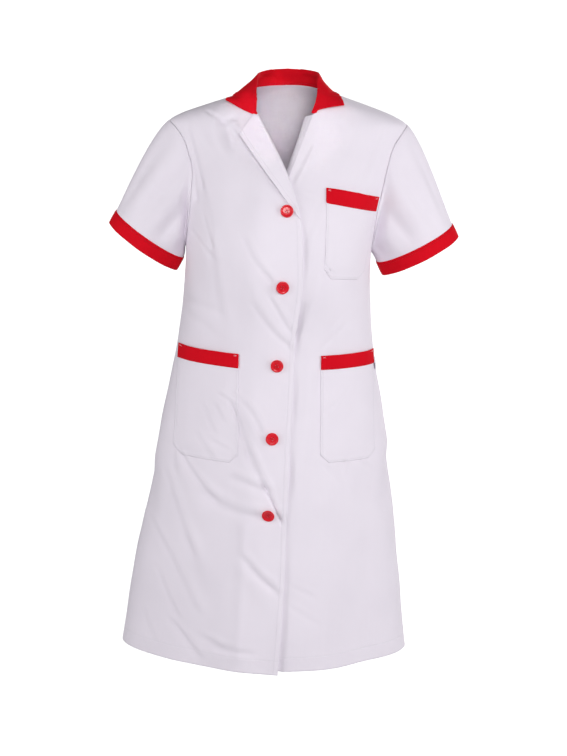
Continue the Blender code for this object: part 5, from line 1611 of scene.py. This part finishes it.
TACK_TOP, TACK_WIDE, TACK_TALL, TACK_TURNS, TACK_PROUD = 0.0016, 0.0042, 0.0022, 6, 0.0001
white_paths, red_paths, tack_paths = [], [], []
edge_drop = np.linspace(0.206, HEM - 0.001, 260)
white_paths.append(front_path(-1, along(EDGE_OVER, edge_drop)[:, 0] - EDGE_STITCH, edge_drop, CLOTH_HALF))
share = np.linspace(0.004, 0.996, 140)
for side in (-1, 1):
    psi = seam_angle(side, HEM) + (front_edge(side, HEM) - seam_angle(side, HEM)) * share
    corner = by_side(side, HEM_RISE_OVER, HEM_RISE_UNDER) * share**5
    white_paths.append(hem_path(psi, corner, side=side))
white_paths.append(hem_path(np.radians(np.linspace(90.6, 269.4, 220))))
patch_top = CLOTH_HALF + POCKET_GAP + 2 * POCKET_HALF
band_top = patch_top + BAND_GAP + 2 * BAND_HALF
for row in POCKETS:
    wide, height = pocket_size(row)
    inset, corner, foot = POCKET_STITCH / wide, CORNER / wide, height - POCKET_STITCH
    turns = ((inset, BAND), (inset, height - CORNER), (corner + 0.3 * inset, foot),
             (1 - corner - 0.3 * inset, foot), (1 - inset, height - CORNER), (1 - inset, BAND))
    corners = np.array(turns)
    run = np.concatenate([np.linspace(a, b, 30, endpoint=False) for a, b in zip(corners, corners[1:])])
    white_paths.append(pocket_path(row, run[:, 0], run[:, 1], patch_top))
    across = np.linspace(0.02, 0.98, 60)
    red_paths.append(pocket_path(row, across, np.full(60, BAND - BAND_STITCH), band_top))
    zigzag = inset + TACK_WIDE * (np.arange(TACK_TURNS) % 2) / wide
    low = np.linspace(TACK_TOP, TACK_TOP + TACK_TALL, TACK_TURNS)
    for across in (zigzag, 1 - zigzag):
        tack_paths.append(pocket_path(row, across, low, band_top + TACK_PROUD))
print("white paths:", len(white_paths), "red paths:", len(red_paths), "tacks:", len(tack_paths))

# %% More paths, on the lapel, the sleeves' bands and the collar


def surface_path(grid, rows, columns):
    """Points and normals of a path over a grid, by fractional rows and columns."""
    normals = grid_normals(grid, False)
    r, c = np.clip(rows, 0, len(grid) - 1.001), np.clip(columns, 0, grid.shape[1] - 1.001)
    r0, c0 = r.astype(int), c.astype(int)
    fr, fc = (r - r0)[:, None], (c - c0)[:, None]
    found = []
    for field in (grid, normals):
        upper = field[r0, c0] * (1 - fc) + field[r0, c0 + 1] * fc
        lower = field[r0 + 1, c0] * (1 - fc) + field[r0 + 1, c0 + 1] * fc
        found.append(upper * (1 - fr) + lower * fr)
    return found[0], unit(found[1])


def outer_grid(name, grid):
    """The outer points of a shell, in the rows and columns of its own grid."""
    mesh = pieces[name].data
    points = np.empty(len(mesh.vertices) * 3)
    mesh.vertices.foreach_get("co", points)
    rows, columns = grid.shape[:2]
    return points.reshape(-1, 3)[:rows * columns].reshape(rows, columns, 3)


def lapel_path():
    """The stitches along the lapel's outer edge."""
    width = np.linalg.norm(lapel_grid[:, -1] - lapel_grid[:, 0], axis=-1)
    rows = np.linspace(0.03, 0.90, 150) * (len(width) - 1)
    here = np.interp(rows, np.arange(len(width)), width)
    share = 1 - LAPEL_STITCH / np.maximum(here, LAPEL_STITCH * 1.1)
    columns = np.interp(share, LAPEL_SHARES, np.arange(len(LAPEL_SHARES)))
    return surface_path(outer_grid("lapel_right", lapel_grid), rows, columns)


def facing_path():
    """The stitches along the turned-in edge."""
    from_edge = np.linalg.norm(facing_grid - facing_grid[:, :1], axis=-1)
    rows = np.linspace(1, len(facing_grid) - 4, 110)
    columns = np.arange(from_edge.shape[1])
    columns = np.array([np.interp(FACING_STITCH, from_edge[int(row)], columns) for row in rows])
    return surface_path(outer_grid("facing_left", facing_grid), rows, columns)


def cuff_path(side):
    """The stitches round a sleeve's band."""
    turns = np.linspace(0, 2 * math.pi, 180)
    ring = sleeve_hem(side, turns, np.full(len(turns), CUFF - CUFF_STITCH))
    out = unit(ring - ring.mean(axis=0))
    return ring + out * (2 * CLOTH_HALF + CUFF_HALF + CUFF_PATH_AIR), out


white_paths += [lapel_path(), facing_path()]
red_paths += [cuff_path(-1), cuff_path(1)]
print("white paths:", len(white_paths), "red paths:", len(red_paths))

# %% [markdown]
# The collar's section turns over, so its outer side is the same side of the strip all the way. The
# stitches follow the side that faces away from the body.

# %% Stitches on the collar
FALL_CENTRE = (0.0, 0.010, -0.080)     # the fall faces away from here
STAND_CENTRE = (0.0, 0.010, 0.0)       # the stand's inner side faces this way


def collar_path(grid, distance, margin, centre, way):
    """Stitches at a distance from the first row of the collar's grid, on one side of the cloth."""
    lengths = lengths_down(grid)
    run = np.arange(margin, grid.shape[1] - margin)
    rows = np.array([np.interp(distance, lengths[:, column], np.arange(len(grid))) for column in run])
    points, normals = surface_path(grid, rows, run.astype(float))
    out = normals * np.sign((normals * (points - np.array(centre)) * way).sum(-1))[:, None]
    return points + out * COLLAR_HALF, out


red_paths.append(collar_path(collar_points[::-1], FALL_STITCH, 3, FALL_CENTRE, 1))
red_paths.append(collar_path(collar_points, STAND_STITCH, 40, STAND_CENTRE, -1))
print("red paths:", len(red_paths))

# %% The stitch tree


def stitch_tree():
    """A Geometry Nodes tree that lays stitches along paths."""
    tree = bpy.data.node_groups.new("running_stitch", "GeometryNodeTree")
    face = tree.interface
    face.new_socket("Paths", in_out="INPUT", socket_type="NodeSocketGeometry")
    for label in ("Pitch", "Length", "Thread"):
        face.new_socket(label, in_out="INPUT", socket_type="NodeSocketFloat")
    face.new_socket("Finish", in_out="INPUT", socket_type="NodeSocketMaterial")
    face.new_socket("Stitches", in_out="OUTPUT", socket_type="NodeSocketGeometry")

    def node(kind, settings=None, **inputs):
        made = tree.nodes.new(kind)
        for label, value in (settings or {}).items():
            setattr(made, label, value)
        for label, value in inputs.items():
            place = made.inputs[label.replace("_", " ")]
            if isinstance(value, bpy.types.NodeSocket):
                tree.links.new(value, place)
            else:
                place.default_value = value
        return made

    given = node("NodeGroupInput").outputs
    curve = node("GeometryNodeMeshToCurve", Mesh=given["Paths"]).outputs[0]
    spaced = node("GeometryNodeResampleCurve", {"mode": "LENGTH"}, Curve=curve, Length=given["Pitch"])
    tangent = node("GeometryNodeInputTangent").outputs[0]
    out = node("GeometryNodeInputNamedAttribute", {"data_type": "FLOAT_VECTOR"}, Name="out").outputs[0]
    turn = node("FunctionNodeAxesToRotation", {"primary_axis": "Z", "secondary_axis": "X"},
                Primary_Axis=out, Secondary_Axis=tangent).outputs[0]
    bead = node("GeometryNodeMeshUVSphere", Segments=6, Rings=4, Radius=0.5).outputs[0]
    size = node("ShaderNodeCombineXYZ", X=given["Length"], Y=given["Thread"], Z=given["Thread"]).outputs[0]
    shaped = node("GeometryNodeTransform", Geometry=bead, Scale=size).outputs[0]
    uneven = node("FunctionNodeRandomValue", {"data_type": "FLOAT"}, Seed=7)
    uneven.inputs[2].default_value = 0.88
    uneven.inputs[3].default_value = 1.08
    sown = node("GeometryNodeInstanceOnPoints", Points=spaced.outputs[0], Instance=shaped, Rotation=turn)
    tree.links.new(uneven.outputs[1], sown.inputs["Scale"])
    joined = node("GeometryNodeRealizeInstances", Geometry=sown.outputs[0]).outputs[0]
    smooth = node("GeometryNodeSetShadeSmooth", Geometry=joined).outputs[0]
    done = node("GeometryNodeSetMaterial", Geometry=smooth, Material=given["Finish"]).outputs[0]
    node("NodeGroupOutput", Stitches=done)
    return tree


def sew(name, paths, tree, finish, pitch, length, thread):
    """One plain mesh of all stitches along some paths."""
    points = np.concatenate([path[0] for path in paths])
    normals = np.concatenate([path[1] for path in paths])
    edges, start = [], 0
    for path, _ in paths:
        edges += [(start + n, start + n + 1) for n in range(len(path) - 1)]
        start += len(path)
    mesh = bpy.data.meshes.new(name + "_paths")
    mesh.from_pydata(points.tolist(), edges, [])
    mesh.attributes.new("out", "FLOAT_VECTOR", "POINT").data.foreach_set("vector", normals.ravel())
    guide = add_object(name + "_paths", mesh)
    sewing = guide.modifiers.new("sewing", "NODES")
    sewing.node_group = tree
    values = {"Pitch": pitch, "Length": length, "Thread": thread, "Finish": finish}
    for item in tree.interface.items_tree:
        if item.in_out == "INPUT" and item.name in values:
            sewing[item.identifier] = values[item.name]
    sewn = add_object(name, applied(guide))
    sewn.data.name = name
    guide.modifiers.clear()
    bpy.data.objects.remove(guide)
    print(name, "triangles:", sum(len(p.vertices) - 2 for p in sewn.data.polygons))
    return sewn


tree = stitch_tree()
white_stitches = sew("white_stitches", white_paths, tree, white_thread, 0.0030, 0.0026, 0.00042)
red_stitches = sew("red_stitches", red_paths, tree, red_thread, 0.0028, 0.0024, 0.00040)
white_tacks = sew("white_tacks", tack_paths, tree, white_thread, 0.0016, 0.0014, 0.00030)

# %% [markdown]
# ## Putting each piece in place of its solid
#
# Every shell rides on the one body of this part and replaces its solid. The table gives each piece's
# slot, the size that it was cut to and how it is held, and the loop prints its area over that size.

# %% Pieces and their solids
CUTS = (
    # node, slot, width and length of the cut in metres, how it is held
    ("back", "white_cloth", 0.54, 0.97, "hung"),
    ("front_right", "white_cloth", 0.33, 0.96, "hung"),
    ("front_left", "white_cloth", 0.33, 0.96, "hung"),
    ("lapel_right", "white_cloth", 0.055, 0.175, "folded"),
    ("facing_left", "white_cloth", 0.020, 0.115, "folded"),
    ("sleeve_right", "white_cloth", 0.40, 0.20, "hung"),
    ("sleeve_left", "white_cloth", 0.40, 0.20, "hung"),
    ("cuff_right", "red_cloth", 0.39, 0.024, "folded"),
    ("cuff_left", "red_cloth", 0.41, 0.024, "folded"),
    ("collar", "red_cloth", 0.43, 0.085, "folded"),
    ("pocket_hip_right", "white_cloth", 0.150, 0.165, "laid"),
    ("pocket_hip_left", "white_cloth", 0.150, 0.165, "laid"),
    ("pocket_breast", "white_cloth", 0.120, 0.125, "laid"),
    ("band_hip_right", "red_cloth", 0.155, 0.0225, "laid"),
    ("band_hip_left", "red_cloth", 0.155, 0.0225, "laid"),
    ("band_breast", "red_cloth", 0.130, 0.0225, "laid"),
    ("side_tab", "white_cloth", 0.030, 0.018, "laid"),
)
for name, slot, width, length, held in CUTS:
    piece = pieces[name]
    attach(piece, "root")
    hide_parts(name)
    print(name, "area over rectangle:", round(areas[name] / (width * length), 2))
for number in range(len(BUTTONS)):
    piece = pieces[f"button_{number + 1}"]
    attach(piece, "root")
    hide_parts(f"button_{number + 1}")
for piece, slot in ((button_threads, "red_cloth"), (white_stitches, "white_cloth"),
                    (red_stitches, "red_cloth"), (white_tacks, "white_cloth")):
    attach(piece, "root")
